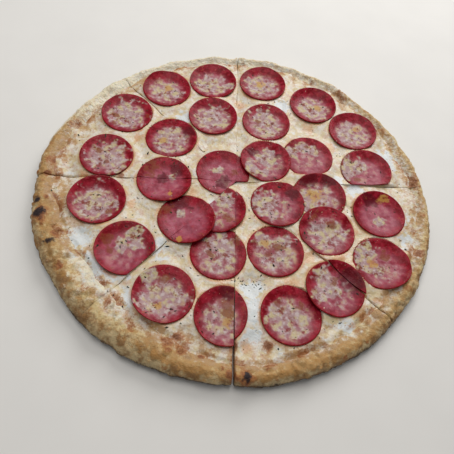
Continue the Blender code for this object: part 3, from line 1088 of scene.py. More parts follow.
@dataclass(frozen=True)
class PepperoniFinish:
    """Cured meat: rose red with fine fat, a darker skin, and a film of melted grated cheese in the cups, with
    painted sheen on the cup floors and painted shade on the far cup walls.
    """

    deep: Tint = (122, 10, 24)
    rose: Tint = (156, 30, 48)
    # Lighter pink of the cup floor: painted sheen.
    floor: Tint = (182, 102, 120)
    fat: Tint = (196, 120, 124)
    skin: Tint = (150, 26, 28)
    film: Tint = (182, 156, 156)
    curd: Tint = (206, 196, 152)
    white: Tint = (220, 216, 214)
    crumb: Tint = (132, 72, 52)
    brown: Tint = (132, 62, 36)
    gold: Tint = (196, 150, 74)
    # Painted shade for the far cup walls.
    dark: Tint = (80, 12, 22)
    roughness: float = 0.32
    fat_span: float = 0.0030

    def material(self) -> Material:
        """Make the material.

        Returns:
            The finished material.
        """
        paint = Paint("cured_pepperoni", {
            "Subsurface Weight": 0.05, "Subsurface Scale": 0.002, "Subsurface Radius": (1.0, 0.3, 0.25),
            "Coat Roughness": 0.12, "IOR": 1.40, "Specular IOR Level": 0.12})
        wide, middle = paint.grain(0.007, 2.0), paint.grain(0.0040, 2.0, shift=0.4)
        fine, other = paint.grain(0.0015, 2.0, shift=0.1), paint.grain(0.0056, 1.0, shift=0.8)
        cells = paint.node("ShaderNodeTexVoronoi", inputs={
            "Vector": paint.place, "Scale": 1.0 / self.fat_span})
        fat = 1.0 - cells + 0.2 * (fine - 0.5)
        film = paint.ragged(FILM, 0.0, 0.70, (other, 0.35), (middle, 0.25)) * paint.mark(FILM).step(0.0, 0.35)
        grated = paint.coats(
            self.film, (self.curd, other.step(0.36, 0.92)),
            (self.white, (middle * 0.7 + fine * 0.3).step(0.52, 0.85) * 0.7),
            (self.crumb, (wide * 0.4 + middle * 0.4 + fine * 0.2).step(0.48, 0.18)))
        ground = paint.coats(
            self.deep, (self.rose, (wide * 0.5 + middle * 0.5).step(0.30, 0.75)),
            # Painted sheen on the cup floor, centred a little toward the camera.
            (self.floor, paint.mark(FLOOR) * (0.35 + 0.60 * other)), (self.fat, fat.step(0.74, 0.95) * 0.25),
            (self.skin, paint.mark(SKIN) * 0.8),
            # Painted shade on the far cup walls.
            (self.dark, paint.ragged(DARK, 0.20, 0.80, (middle, 0.4)) * 0.7), (grated, film * 0.85),
            (self.gold, paint.ragged(GOLD, 0.30, 1.00, (middle, 0.8), (fine, 0.3)) * 0.75),
            (self.brown, paint.ragged(BROWN, 0.30, 1.00, (middle, 0.8), (other, 0.7)) * 0.80))
        paint.feed("Base Color", ground)
        paint.feed("Roughness", self.roughness + 0.20 * film + 0.14 * (fine - 0.5))
        paint.feed("Coat Weight", 0.05 - 0.04 * film)
        paint.bump(middle * 0.30 + fine * 0.35 + film * 0.35, 0.0005, 0.7)
        return paint.material


@dataclass(frozen=True)
class FlakeFinish:
    """Small dry bits of two tones."""

    name: str
    light: Tint
    dark: Tint
    roughness: float = 0.7
    span: float = 0.004

    def material(self) -> Material:
        """Make the material.

        Returns:
            The finished material.
        """
        paint = Paint(self.name, {"IOR": 1.40})
        tone = paint.grain(self.span, 1.0)
        paint.feed("Base Color", paint.coats(self.light, (self.dark, tone.step(0.20, 0.80))))
        paint.feed("Roughness", self.roughness + 0.2 * (tone - 0.5))
        return paint.material


# The pepperoni.

@dataclass(frozen=True)
class Slice:
    """One slice of pepperoni, or the piece of it that lies in its home slices of the pizza.

    Millimetres and degrees: cup is how far the edge curls up, on average, lean where it is highest and tilt
    the share by which it is higher there. Level 0 lies on the cheese, 1 and more over lower ones. A whole
    slice isn't trimmed at the cuts.
    """

    number: int
    home: str
    x: float
    y: float
    radius: float = 24.6
    cup: float = 3.0
    lean: float = 90.0
    tilt: float = 0.2
    level: int = 0
    whole: bool = False

    @property
    def middle(self) -> tuple[float, float]:
        """Return the slice's middle in metres."""
        return self.x * MILLIMETRE, self.y * MILLIMETRE

    @property
    def reach(self) -> float:
        """Return the slice's radius in metres."""
        return self.radius * MILLIMETRE

    def share(self, x: Array, y: Array, nearer: float = 0.0) -> Array:
        """Return how far out on the slice places are, 1 at its edge, from its middle or a little nearer."""
        return np.hypot(x - self.middle[0], y - self.middle[1] + nearer) / self.reach

    @property
    def film(self) -> float:
        """Return how thickly grated cheese lies on its floor."""
        return THIN_FILMS.get(self.number, 0.62)


# The slices whose floor is barer than most, and how thickly grated cheese lies on them.
THIN_FILMS = {
    11: 0.35, 12: 0.30, 13: 0.25, 15: 0.15, 16: 0.15, 17: 0.35, 18: 0.30, 20: 0.15, 21: 0.22, 22: 0.08,
    26: 0.30, 30: 0.30,
}

# Number, home, x, y, radius, cup, lean, tilt, level and whole.
SLICES = tuple(Slice(*row) for row in (
    (1, "b", -89.0, 101.8, 24.4, 3.2, 130.0, 0.45),
    (2, "b", -44.6, 124.8, 24.6, 4.2, 95.0),
    (3, "a", 7.4, 134.6, 24.6, 4.0, 85.0),
    (4, "c", -118.6, 59.2, 24.6, 2.8, 160.0, 0.4),
    (5, "b", -35.8, 75.2, 24.2, 4.4, 100.0),
    (6, "a", 17.6, 81.2, 24.2, 2.6, 80.0),
    (7, "a", 63.0, 116.4, 24.4, 4.8, 70.0, 0.3),
    (8, "a", 105.6, 90.2, 24.4, 4.0, 60.0),
    (9, "c", -122.2, 3.6, 24.2, 3.4, 170.0, 0.35),
    (10, "c", -70.0, 38.8, 24.3, 1.6, 330.0, 0.6),
    (10, "b", -69.6, 39.0, 24.3, 1.6, 330.0, 0.6),
    (11, "a", 22.8, 31.8, 24.2, 1.8, 90.0, 0.2, 2),
    (12, "a", 62.8, 47.0, 24.2, 1.6, 20.0, 0.5, 1),
    (13, "a", 119.8, 43.0, 24.4, 2.8, 20.0, 0.7),
    (14, "d", -115.6, -45.6, 24.6, 5.0, 150.0, 0.3),
    (15, "c", -65.0, -10.9, 24.6, 2.6, 100.0, 0.2, 1),
    (15, "d", -65.0, -11.4, 24.6, 2.0, 250.0, 0.2, 1),
    (16, "bc", -14.8, 9.6, 24.6, 2.6, 150.0),
    (16, "a", -14.4, 10.2, 24.6, 1.4, 60.0),
    (16, "d", -14.8, 8.6, 24.6, 1.8, 250.0),
    (17, "e", -12.0, -31.2, 24.6, 2.2, 300.0, 0.2, 1),
    (17, "f", -12.2, -31.0, 24.6, 3.0, 350.0, 0.6),
    (18, "fg", 39.2, -14.8, 24.2, 1.8, 60.0, 0.5, 1),
    (19, "g", 76.4, 2.6, 24.6, 3.6, 95.0, 0.3, 0, True),
    (20, "g", 131.4, -5.4, 24.2, 3.6, 140.0, 0.35),
    (21, "d", -79.8, -85.4, 24.6, 3.6, 175.0, 0.4),
    (22, "d", -37.2, -47.4, 24.6, 2.4, 190.0),
    (22, "e", -36.6, -48.2, 24.6, 2.6, 300.0, 0.4, 2),
    (23, "e", -3.6, -74.0, 24.4, 2.0, 270.0),
    (23, "f", -5.4, -75.2, 24.4, 1.8, 340.0),
    (24, "f", 42.4, -62.2, 24.3, 2.2, 280.0),
    (25, "g", 85.0, -33.4, 24.6, 1.8, 330.0, 0.2, 1),
    (26, "g", 133.0, -55.0, 24.6, 1.6, 340.0, 0.4),
    (27, "e", -40.0, -118.0, 24.6, 3.2, 190.0, 0.3),
    (28, "e", 10.0, -126.0, 24.4, 3.2, 200.0, 0.3, 1),
    (28, "f", 2.6, -125.4, 24.6, 2.2, 350.0),
    (29, "f", 60.6, -115.6, 24.6, 3.2),
    (30, "f", 94.0, -86.4, 24.6, 2.2, 240.0, 0.2, 1),
    (30, "g", 94.2, -86.2, 24.6, 4.6, 50.0, 0.3),
))

# What lies on each slice of pepperoni, measured from its middle. The dark spots are painted shade on the far
# cup walls.
SPOTS: dict[int, Spots] = {
    1: {GOLD: ((1, 2, 10),), BROWN: ((3, -5, 6),), FILM: ((10, -2, 14), (-3, -5, 16))},
    2: {FILM: ((-13, -6, 11), (-6, -1, 16), (15, -2, 11), (0, -6, 18))},
    3: {GOLD: ((-3, -1, 10),), FILM: ((-13, 2, 11), (-7, -9, 14), (3, -2, 18))},
    4: {FILM: ((-1, -2, 30),), BROWN: ((-11, -4, 7), (-10, -15, 6), (20, 1, 6))},
    5: {FILM: ((0, 2, 22), (-5, -8, 13), (8, -7, 13))},
    6: {FILM: ((-3, 4, 24), (6, -10, 10), (8, -1, 9)), BROWN: ((-8, -2, 9),)},
    7: {FILM: ((-10, -3, 12), (0, -9, 20), (8, -3, 12)), GOLD: ((5, -1, 10),)},
    8: {FILM: ((-4, -12, 13), (-8, -2, 15), (-4, 8, 10)), GOLD: ((4, 4, 9),)},
    9: {FILM: ((0, -1, 32), (16, -13, 12)), BROWN: ((-9, 4, 7), (2, -7, 7))},
    10: {FILM: ((-7, -2, 12), (-3, 6, 14)), DARK: ((14, 11, 14),), GOLD: ((-7, -5, 8),)},
    11: {DARK: ((-14, 6, 12), (10, 7, 6)), FILM: ((3, 9, 13), (0, 2, 20), (2, -13, 9), (-12, -12, 15))},
    12: {FILM: ((-5, 9, 15), (4, 8, 13), (-16, 2, 15)), BROWN: ((-3, 12, 6),)},
    13: {FILM: ((-7, 3, 16), (-18, 5, 14), (-20, -7, 16)), BROWN: ((-9, -12, 9),)},
    14: {FILM: ((-4, 1, 24), (6, -8, 16), (16, -1, 9)), BROWN: ((12, -9, 9),)},
    15: {DARK: ((-2, 2, 12), (8, 12, 16)), FILM: ((6, 5, 7),), GOLD: ((9, -15, 6),), BROWN: ((-14, 10, 18),)},
    16: {FILM: ((-4, 1, 9),), BROWN: ((11, 1, 8),), DARK: ((2, -12, 14),)},
    17: {FILM: ((3, 10, 17),), BROWN: ((9, -8, 12),)},
    18: {FILM: ((-12, -3, 24), (-4, -12, 16)), BROWN: ((3, -17, 8),), DARK: ((12, 12, 14),)},
    19: {DARK: ((-10, 16, 18), (6, 18, 16)), GOLD: ((-4, 0, 17),),
         FILM: ((-11, 0, 14), (-8, -10, 18), (4, -4, 12))},
    20: {GOLD: ((3, 17, 11),), FILM: ((0, -8, 10),), DARK: ((-8, 14, 16),)},
    21: {FILM: ((2, 12, 13), (8, 6, 11), (-3, 2, 13)), BROWN: ((-12, -5, 8), (-16, 6, 12))},
    22: {BROWN: ((-20, 4, 15),), DARK: ((-10, 14, 18),), FILM: ((-5, 5, 8),), GOLD: ((-2, -21, 7),)},
    23: {FILM: ((-6, 7, 18), (3, 8, 18), (-1, 18, 12)), BROWN: ((-8, -2, 8), (12, 15, 11))},
    24: {FILM: ((-13, 8, 12), (3, -5, 14), (7, 8, 13)), GOLD: ((-9, 6, 9),),
         BROWN: ((1, 4, 11), (-6, -4, 9))},
    25: {BROWN: ((4, 7, 9), (-12, 11, 10)), FILM: ((-1, -1, 20), (1, -7, 14), (10, -2, 13))},
    26: {FILM: ((-15, 8, 17), (-3, -8, 14), (-16, -4, 14)), GOLD: ((-9, -2, 10),), BROWN: ((3, 7, 11),)},
    27: {BROWN: ((-2, 12, 11),), FILM: ((-14, 11, 14), (-10, -8, 15), (0, 2, 20), (10, 0, 17), (0, -12, 14)),
         GOLD: ((-2, -10, 7),)},
    28: {FILM: ((1, 2, 18),), GOLD: ((2, -5, 10),), DARK: ((-2, 19, 15),), BROWN: ((0, 6, 17),)},
    29: {FILM: ((-10, -1, 18), (1, 1, 17), (8, -2, 15)), BROWN: ((-11, 7, 9), (7, 9, 8))},
    30: {FILM: ((-10, 7, 16), (-3, -2, 15), (-10, -7, 15)), BROWN: ((-1, 7, 9),), DARK: ((13, 9, 24),)},
}


@dataclass(frozen=True)
class Layout:
    """How the pepperoni slices lie: the rules of the plain solids, repeated."""

    form: PieForm
    thickness: float = 0.0017
    flat_share: float = 0.45
    curl_share: float = 1.2
    rest_gap: float = 0.0004
    rest_reach: float = 0.0045
    rest_places: int = 8
    drape: tuple[float, float] = (0.005, 0.013)
    press: tuple[float, float] = (0.008, 0.016)
    film_reach: tuple[float, float] = (0.42, 0.95)
    nearer: float = 0.0040
    relief: Relief = field(default_factory=lambda: Relief(43))

    @cached_property
    def ground(self) -> HeightMap:
        """Map the highest surface within a slice's stiff reach of each place.

        Returns:
            The map.
        """
        turns = [TURN * step / self.rest_places for step in range(self.rest_places)]
        steps = [(0.0, 0.0), *((math.cos(turn), math.sin(turn)) for turn in turns)]
        return HeightMap(lambda x, y: np.max([
            self.form.resting_height(x + self.rest_reach * across, y + self.rest_reach * along)
            for across, along in steps], axis=0))

    @staticmethod
    def outside_of(piece: Slice, x: Array, y: Array) -> Array:
        """Return how far places lie outside a slice."""
        return np.hypot(x - piece.middle[0], y - piece.middle[1]) - piece.reach

    @staticmethod
    def lap_each_other(one: Slice, other: Slice) -> bool:
        """Tell whether two pieces in the same slice of the pizza lie over each other."""
        near = math.hypot(one.x - other.x, one.y - other.y) < one.radius + other.radius
        return one is not other and near and bool(set(one.home) & set(other.home))

    def underside(self, piece: Slice, x: Array, y: Array) -> Array:
        """Return the height of a piece's underside.

        Args:
            piece: The piece.
            x: Places along X.
            y: Places along Y.

        Returns:
            The heights there.
        """
        rest = self.ground.at(x, y) + self.rest_gap
        turn = np.arctan2(y - piece.middle[1], x - piece.middle[0]) - math.radians(piece.lean)
        rise = piece.cup * MILLIMETRE * (1.0 + piece.tilt * np.cos(turn))
        for other in SLICES:
            if not self.lap_each_other(piece, other):
                continue
            outside = self.outside_of(other, x, y)
            if other.level < piece.level:
                rest = rest + (self.thickness + self.rest_gap) * (1.0 - smooth(outside, *self.drape))
            if other.level > piece.level:
                rise = rise * smooth(outside, *self.press)
        return rest + rise * smooth(piece.share(x, y), self.flat_share, self.curl_share)

    def film(self, piece: Slice, x: Array, y: Array) -> Array:
        """Find how thickly grated cheese lies on a piece: all over its floor, and more so in spots.

        Args:
            piece: The piece.
            x: Places along X.
            y: Places along Y.

        Returns:
            The film's share of its full thickness.
        """
        patchy = 0.85 + 0.35 * self.relief.waves(flat_points(x, y, piece.number * MILLIMETRE), 0.009)
        even = piece.film * patchy * (1.0 - smooth(piece.share(x, y, self.nearer), *self.film_reach))
        return np.maximum(even, self.relief.spots(SPOTS[piece.number], FILM, x, y, (piece.x, piece.y)))

    @staticmethod
    def over(letter: str) -> list[Slice]:
        """Return the pieces that lie on one slice of the pizza."""
        return [piece for piece in SLICES if letter in piece.home or piece.whole]


class ShapeTree(Sheet):
    """A Geometry Nodes tree with named inputs, the last of them the material."""

    kinds: dict[str, str] = {}

    def __init__(self, name: str) -> None:
        """Make the tree's sockets, and the nodes between them.

        Args:
            name: The tree's name.
        """
        super().__init__(bpy.data.node_groups.new(name, "GeometryNodeTree"))
        sockets = self.tree.interface
        sockets.new_socket("Geometry", in_out="INPUT", socket_type="NodeSocketGeometry")
        self.sockets = {
            key: sockets.new_socket(key, in_out="INPUT", socket_type=f"NodeSocket{kind}").identifier
            for key, kind in self.kinds.items()}
        sockets.new_socket("Geometry", in_out="OUTPUT", socket_type="NodeSocketGeometry")
        given = self.tree.nodes.new("NodeGroupInput")
        *signals, material = (Signal(self, given.outputs[key]) for key in ("Geometry", *self.kinds))
        real = self.node("GeometryNodeRealizeInstances", inputs={0: self.shape(*signals)})
        dressed = self.node("GeometryNodeSetMaterial", inputs={"Geometry": real, "Material": material})
        self.node("NodeGroupOutput", inputs={0: dressed})

    def shape(self, *signals: Signal) -> Signal:
        """Return the geometry that the tree makes of its start and its named inputs."""
        raise NotImplementedError

    def mesh(self, name: str, values: dict[str, Any], start: Mesh | None = None) -> Mesh:
        """Run the tree.

        Args:
            name: The new mesh's name.
            values: The values of its inputs, by their names.
            start: The mesh that it works on, or none.

        Returns:
            A plain mesh of the result.
        """
        holder = placed_object(f"{name}_source", start or bpy.data.meshes.new(name))
        modifier = holder.modifiers.new(self.tree.name, "NODES")
        modifier.node_group = self.tree
        for key, value in values.items():
            modifier[self.sockets[key]] = value
        graph = bpy.context.evaluated_depsgraph_get()
        mesh = bpy.data.meshes.new_from_object(
            holder.evaluated_get(graph), preserve_all_data_layers=True, depsgraph=graph)
        mesh.name = name
        bpy.data.objects.remove(holder, do_unlink=True)
        return mesh


class FlatSliceTree(ShapeTree):
    """A flat slice with a rounded, slightly uneven edge."""

    kinds = {"Radius": "Float", "Thickness": "Float", "Spokes": "Int", "Rings": "Int", "Sway": "Float",
             "Seed": "Float", "Material": "Material"}
    edge_crowding = 1.35
    sway_span = 0.8
    merge = 0.00001

    def shape(self, *signals: Signal) -> Signal:
        """Roll a grid up into rings, over the top from one edge and back underneath.

        Args:
            signals: The start and the values of the named inputs.

        Returns:
            The slice.
        """
        _, radius, thickness, spokes, rings, sway, seed = signals
        grid = self.node("GeometryNodeMeshGrid", inputs={
            "Size X": 1.0, "Size Y": 1.0, "Vertices X": spokes, "Vertices Y": rings})
        place = self.node("GeometryNodeInputPosition")
        turn, side = (self.node("ShaderNodeSeparateXYZ", inputs={0: place}, output=axis) for axis in (0, 1))
        turn = -TURN * (turn + 0.5)
        inward = (2.0 * abs(side)).at_most(1.0) ** self.edge_crowding
        ring = self.vector(turn.cosine(), turn.sine())
        bends = self.node("ShaderNodeTexNoise", {"noise_dimensions": "4D"}, {
            "Vector": ring, "W": seed, "Scale": self.sway_span, "Detail": 2.0})
        away = (radius + sway * (bends - 0.5)) * (1.0 - inward)
        half = 0.5 * thickness
        sunk = 1.0 - (radius * inward / half).at_most(1.0)
        height = half - half * side.sign() * (1.0 - sunk * sunk).root()
        moved = self.vector(away * turn.cosine(), away * turn.sine(), height)
        shaped = self.node("GeometryNodeSetPosition", inputs={"Geometry": grid, "Position": moved})
        return self.node("GeometryNodeMergeByDistance", inputs={"Geometry": shaped, "Distance": self.merge})


@dataclass
class PepperoniMaker:
    """Makes the slices of pepperoni, bends them over what they lie on and marks what is baked on them."""

    layout: Layout
    spokes: int = 97
    rings: int = 45
    sway: float = 0.0006
    film_height: float = 0.00035
    ripple_height: float = 0.00018
    cut_gap: float = 0.00006
    relief: Relief = field(default_factory=lambda: Relief(31))
    pieces: list[Piece] = field(default_factory=list)

    def make_all(self) -> None:
        """Make every piece."""
        tree = FlatSliceTree("flat_slice")
        material = PepperoniFinish().material()
        for order, piece in enumerate(SLICES):
            twins = [other for other in SLICES if other.number == piece.number]
            name = f"pepperoni_{piece.number:02d}" + (f"_{piece.home}" if len(twins) > 1 else "")
            values = {
                "Radius": piece.reach, "Thickness": self.layout.thickness, "Spokes": self.spokes,
                "Rings": self.rings, "Sway": self.sway, "Seed": float(order), "Material": material,
            }
            mesh = tree.mesh(f"{name}_meat", values)
            mesh.transform(Matrix.Translation((*piece.middle, 0.0)))
            self.trim(mesh, piece)
            self.bend(mesh, piece)
            self.pieces.append(show(f"{name}_meat", mesh, material, Food.PEPPERONI, [name], sharp=60.0))

    def trim(self, mesh: Mesh, piece: Slice) -> None:
        """Cut a flat slice along the cuts beside its home slices.

        Args:
            mesh: The flat slice, in its place.
            piece: Which slice it is.
        """
        if piece.whole:
            return
        homes = [wedge for wedge in WEDGES if wedge.letter in piece.home]
        body = bmesh.new()
        body.from_mesh(mesh)
        planes = []
        for cut, side in ((homes[0].start, 1.0), (homes[-1].end, -1.0)):
            ahead = cut.ahead(*piece.middle)
            if cut.aside(*piece.middle) * side < piece.reach and ahead > -piece.reach:
                inward = Vector((-math.sin(cut.turn), math.cos(cut.turn), 0.0)) * side
                gap = max(self.cut_gap, float(cut.half_width(abs(ahead))))
                planes.append((Vector((*CUT_POINT, 0.0)) + inward * gap, inward))
        for point, inward in planes:
            corners = body.verts[:] + body.edges[:] + body.faces[:]
            bmesh.ops.bisect_plane(body, geom=corners, plane_co=point, plane_no=-inward, clear_outer=True)
        for point, inward in planes:
            self.close_cut(body, point, inward)
        body.to_mesh(mesh)
        body.free()

    def close_cut(self, body: bmesh.types.BMesh, point: Vector, inward: Vector) -> None:
        """Close the open side that a cut left.

        Args:
            body: The cut slice.
            point: A place on the cut.
            inward: The direction from the cut into the slice.
        """
        tolerance = 1e-6
        along = Vector((0.0, 0.0, 1.0)).cross(inward)
        edge = [corner for corner in body.verts if abs((corner.co - point).dot(inward)) < tolerance]
        if len(edge) < 4:
            return
        half = 0.5 * self.layout.thickness
        edge.sort(key=lambda corner: -(corner.co - point).dot(along))
        body.verts.index_update()
        places = {corner.index: corner for corner in edge}
        chains = []
        for upper in (True, False):
            chain = [corner for corner in edge if (corner.co.z >= half - tolerance) is upper]
            chains += [np.array([corner.index for corner in chain]),
                       np.array([-(corner.co - point).dot(along) for corner in chain])]
        for face in zipped(*chains):
            body.faces.new([places[index] for index in reversed(face)])

    def bend(self, mesh: Mesh, piece: Slice) -> None:
        """Bend a flat slice over what it lies on, raise what is baked on it and mark it.

        Args:
            mesh: The flat slice, in its place.
            piece: Which slice it is.
        """
        points = corners_of(mesh)
        x, y, flat = points.T
        on_top = smooth(flat / self.layout.thickness, 0.75, 1.0)
        places = flat_points(x, y, piece.number * MILLIMETRE)
        crumbly = 0.5 + 0.5 * self.relief.crags(places, 0.0034, 2)
        # The dark spots are painted shade on the far cup walls.
        marks = {mark: self.relief.spots(SPOTS[piece.number], mark, x, y, (piece.x, piece.y)) * on_top
                 for mark in (BROWN, GOLD, DARK)}
        marks[FILM] = self.layout.film(piece, x, y) * on_top
        marks[SKIN] = smooth(piece.share(x, y), 0.955, 0.99)
        # Painted sheen: the cup floor is lighter, centred a little toward the camera.
        marks[FLOOR] = 1.0 - smooth(piece.share(x, y, self.layout.nearer), 0.50, 0.90)
        rise = self.film_height * marks[FILM] * np.clip(crumbly, 0.0, 1.0)
        rise += self.ripple_height * self.relief.crags(places, 0.006, 3) * on_top
        points[:, 2] = flat + self.layout.underside(piece, x, y) + rise * on_top
        move_corners(mesh, points)
        set_marks(mesh, marks)


# The crust.

RIM_SPOTS: Spots = {
    SCORCH: (
        (-157, -69, 12), (-163, -58, 6), (-139, -93, 7), (33, -168, 7),
    ),
    BROWN: (
        (-137, -84, 12), (-124, -112, 9), (-100, -125, 9), (-79, -133, 10), (-58, -147, 9), (-29, -153, 10),
        (-17, -157, 12), (48, -151, 14), (33, -168, 13), (21, -169, 12), (92, 137, 24), (-162, 32, 13),
        (-165, -12, 13), (35, 159, 16), (58, 152, 14), (165, 40, 20), (166, -39, 12), (-150, 60, 12),
        (-131, 84, 14), (-157, -69, 20), (20, -152, 11),
    ),
}
RIM_BUBBLES: Spots = {
    BROWN: (
        (92, 138, 15), (-157, -69, 11), (-130, -100, 16), (60, 154, 12), (-120, 98, 14), (165, -20, 14),
        (-80, -146, 18), (70, -152, 16), (-20, 163, 14),
    ),
}


@dataclass
class Crust:
    """The crust: one wedge for each slice, with blisters, baked-on bits, a pale edge of flour and painted
    light, and painted shade at its foot.
    """

    form: PieForm
    spacing: float = 0.0008
    bed_rows: int = 5
    under_rows: int = 5
    wide_height: float = 0.00055
    crag_height: float = 0.00050
    blister_height: float = 0.0034
    blister_span: float = 0.0082
    pore_height: float = 0.00035
    bubble_height: float = 0.0014
    wrinkle_height: float = 0.00035
    baked_reach: tuple[float, ...] = (
        0.0125, 0.0135, 0.014, 0.014, 0.014, 0.013, 0.0105, 0.0095, 0.0105, 0.0085, 0.008, 0.0115,
    )
    toasting: tuple[float, ...] = (0.9, 1.0, 1.0, 0.6, 0.4, 0.5, 1.5, 1.3, 0.6, 1.6, 1.4, 1.0)
    # Pale by angle, strongest at the back: partly real flour, partly painted light that brightens the shaded
    # back rim.
    flour_and_painted_light: tuple[float, ...] = (0.0, 0.1, 0.4, 0.6, 0.7, 0.75, 0.15, 0.0, 0.0, 0.0, 0.0, 0.0)
    cut_edge: tuple[float, float] = (0.0010, 0.0011)
    slack: float = 0.0001
    relief: Relief = field(default_factory=lambda: Relief(7))

    def swelling(self, points: Array, radius: Array) -> Array:
        """Return how far the fine relief stands out from the plain form.

        Args:
            points: Places on the crust, one a row.
            radius: Their even radii.

        Returns:
            The distances, outward.
        """
        x, y, z = points.T
        bare = smooth(radius, self.form.foot + 0.001, self.form.foot + 0.007)
        low = smooth(z, 0.0005, 0.0040)
        patchy = smooth(self.relief.waves(points + 0.5, 0.018), -0.35, 0.45)
        rise = self.wide_height * self.relief.waves(points, 0.009)
        rise += self.crag_height * self.relief.crags(points + 0.2, 0.0042, 3)
        # The blisters stand out most at the front and the left, and not at the very foot.
        patchy *= (1.0 - 0.8 * smooth(y + 0.5 * np.maximum(x, 0.0), -0.07, 0.03)) * smooth(z, 0.004, 0.009)
        rise += self.blister_height * patchy * self.relief.bubbles(points, self.blister_span)[0]
        rise += self.pore_height * self.relief.bubbles(points + 0.1, 0.0021)[0]
        rise += self.bubble_height * self.relief.spots(RIM_BUBBLES, BROWN, x, y) * smooth(z, 0.006, 0.011)
        side = 1.0 - smooth(z, 0.0050, 0.0100)
        rise += self.wrinkle_height * side * self.relief.crags(points * (1.0, 1.0, 5.0), 0.0065, 2)
        return rise * bare * low

    def top_height(self, x: Array, y: Array) -> Array:
        """Find how high the crust's upper side is, with its relief.

        Args:
            x: Places along X.
            y: Places along Y.

        Returns:
            The heights there.
        """
        radius = self.form.even_radius(x, y)
        plain = self.form.lifted(self.form.crust_height(radius), x, y, radius)
        return plain + self.swelling(np.stack((x, y, plain), axis=-1), radius)

    def make_all(self, shore: Callable[[Array], Array]) -> None:
        """Make every wedge.

        Args:
            shore: The even radius at which the cheese ends, for angles.
        """
        material = CrustFinish().material()
        for wedge in WEDGES:
            mesh, radius = self.wedge_mesh(wedge)
            self.mark(mesh, radius, shore)
            name = f"crust_{wedge.letter}"
            show(f"{name}_bread", mesh, material, Food.CRUST, [name])

    def wedge_mesh(self, wedge: Wedge) -> tuple[Mesh, Array]:
        """Make the mesh of one wedge.

        Args:
            wedge: The slice of the pizza.

        Returns:
            The mesh and the even radius of each of its corners.
        """
        form = self.form
        profile = evenly(form.rim_curve, self.spacing)
        slope = np.gradient(profile, axis=0)
        normal = np.stack((-slope[:, 1], slope[:, 0]), axis=1)
        normal /= np.linalg.norm(normal, axis=1, keepdims=True)
        bed = np.linspace(wedge.tip, profile[0, 0], self.bed_rows + 1)[:-1]
        under = np.linspace(profile[-1, 0], wedge.tip, self.under_rows + 1)[1:]
        radius = np.concatenate((bed, profile[:, 0], under))
        height = np.concatenate((np.full(len(bed), form.bed_height), profile[:, 1], np.zeros(len(under))))
        facing = np.vstack((
            np.tile((0.0, 1.0), (len(bed), 1)), normal, np.tile((0.0, -1.0), (len(under), 1))))
        turns = wedge.turns(radius, self.spacing, form.radius)
        grid = np.empty((*turns.shape, 3))
        radii, heights = (np.broadcast_to(row[:, None], turns.shape) for row in (radius, height))
        grid[..., 0], grid[..., 1] = from_cut_point(radii, turns)
        grid[..., 2] = heights
        rim = radius >= form.foot - form.shore_in - self.slack
        angle, _ = on_ray(form, turns[rim], radii[rim])
        grid[rim] = form.warped(radii[rim], angle, heights[rim])
        rise = self.swelling(grid.reshape(-1, 3), radii.ravel()).reshape(turns.shape)
        rise -= wedge.rounding(grid[..., 0], grid[..., 1], *self.cut_edge) * (facing[:, 1:] > -0.5)
        outward = np.arctan2(grid[..., 1], grid[..., 0])
        grid[..., 0] += rise * facing[:, :1] * np.cos(outward)
        grid[..., 1] += rise * facing[:, :1] * np.sin(outward)
        grid[..., 2] += rise * facing[:, 1:]
        split = len(bed) + int(np.argmax(profile[:, 0]))
        return lofted(f"crust_{wedge.letter}_bread", keep_in_box(grid), split), radii.ravel()

    def mark(self, mesh: Mesh, radius: Array, shore: Callable[[Array], Array]) -> None:
        """Mark where a wedge is golden, brown, scorched or floury and where it has cheese baked on, with the
        painted light of the pale back rim and the painted shade of its lower side.

        Args:
            mesh: The wedge's mesh.
            radius: The even radius of each corner.
            shore: The even radius at which the cheese ends, for angles.
        """
        points = corners_of(mesh)
        x, y, z = points.T
        bubbles, tone = self.relief.bubbles(points, self.blister_span)
        high = smooth(z, 0.0075, 0.0125)
        angle = np.arctan2(y, x)
        beyond, reach = radius - shore(angle), around(self.baked_reach, angle)
        outer = smooth(radius, self.form.radius - 0.0060, self.form.radius - 0.0020)
        seared = smooth(self.relief.waves(points + 0.3, 0.012), 0.1, 0.8)
        seared *= 1.0 - smooth(beyond, 0.004, 0.014)
        blob = smooth(bubbles, 0.05, 0.45)
        placed = {mark: self.relief.spots(RIM_SPOTS, mark, x, y) for mark in (BROWN, SCORCH)}
        toast = around(self.toasting, angle)
        outside = smooth(beyond, 0.006, 0.011)
        sides = np.maximum(outer, 0.7 * (1.0 - high) * outside)
        # Partly real flour, partly painted light that brightens the shaded back rim.
        flour_and_painted_light_share = sides * smooth(y, -0.06, 0.08) + around(self.flour_and_painted_light, angle)
        seared = toast * high * (0.55 * blob * smooth(tone, 0.65, 0.85) + 0.35 * seared)
        set_marks(mesh, {
            GOLD: toast * (0.25 + 0.25 * high + 0.55 * blob * smooth(tone, 0.3, 0.7)) * (1.0 - 0.6 * outer),
            BROWN: np.maximum(seared, 0.90 * placed[BROWN]),
            SCORCH: placed[SCORCH],
            MELT: 1.0 - smooth(beyond, reach - 0.003, reach + 0.002),
            FILM: 1.0 - smooth(beyond, 0.25 * reach, 0.85 * reach),
            PALE: np.maximum(flour_and_painted_light_share, 0.7 * self.relief.spots(CHEESE_SPOTS, PALE, x, y)),
            # Painted shade: darker low on the outer side, less so at the back.
            DARK: (1.0 - smooth(z, 0.0040, 0.0125)) * outside * (1.0 - 0.55 * smooth(y, -0.06, 0.04)),
        })


# The cheese.

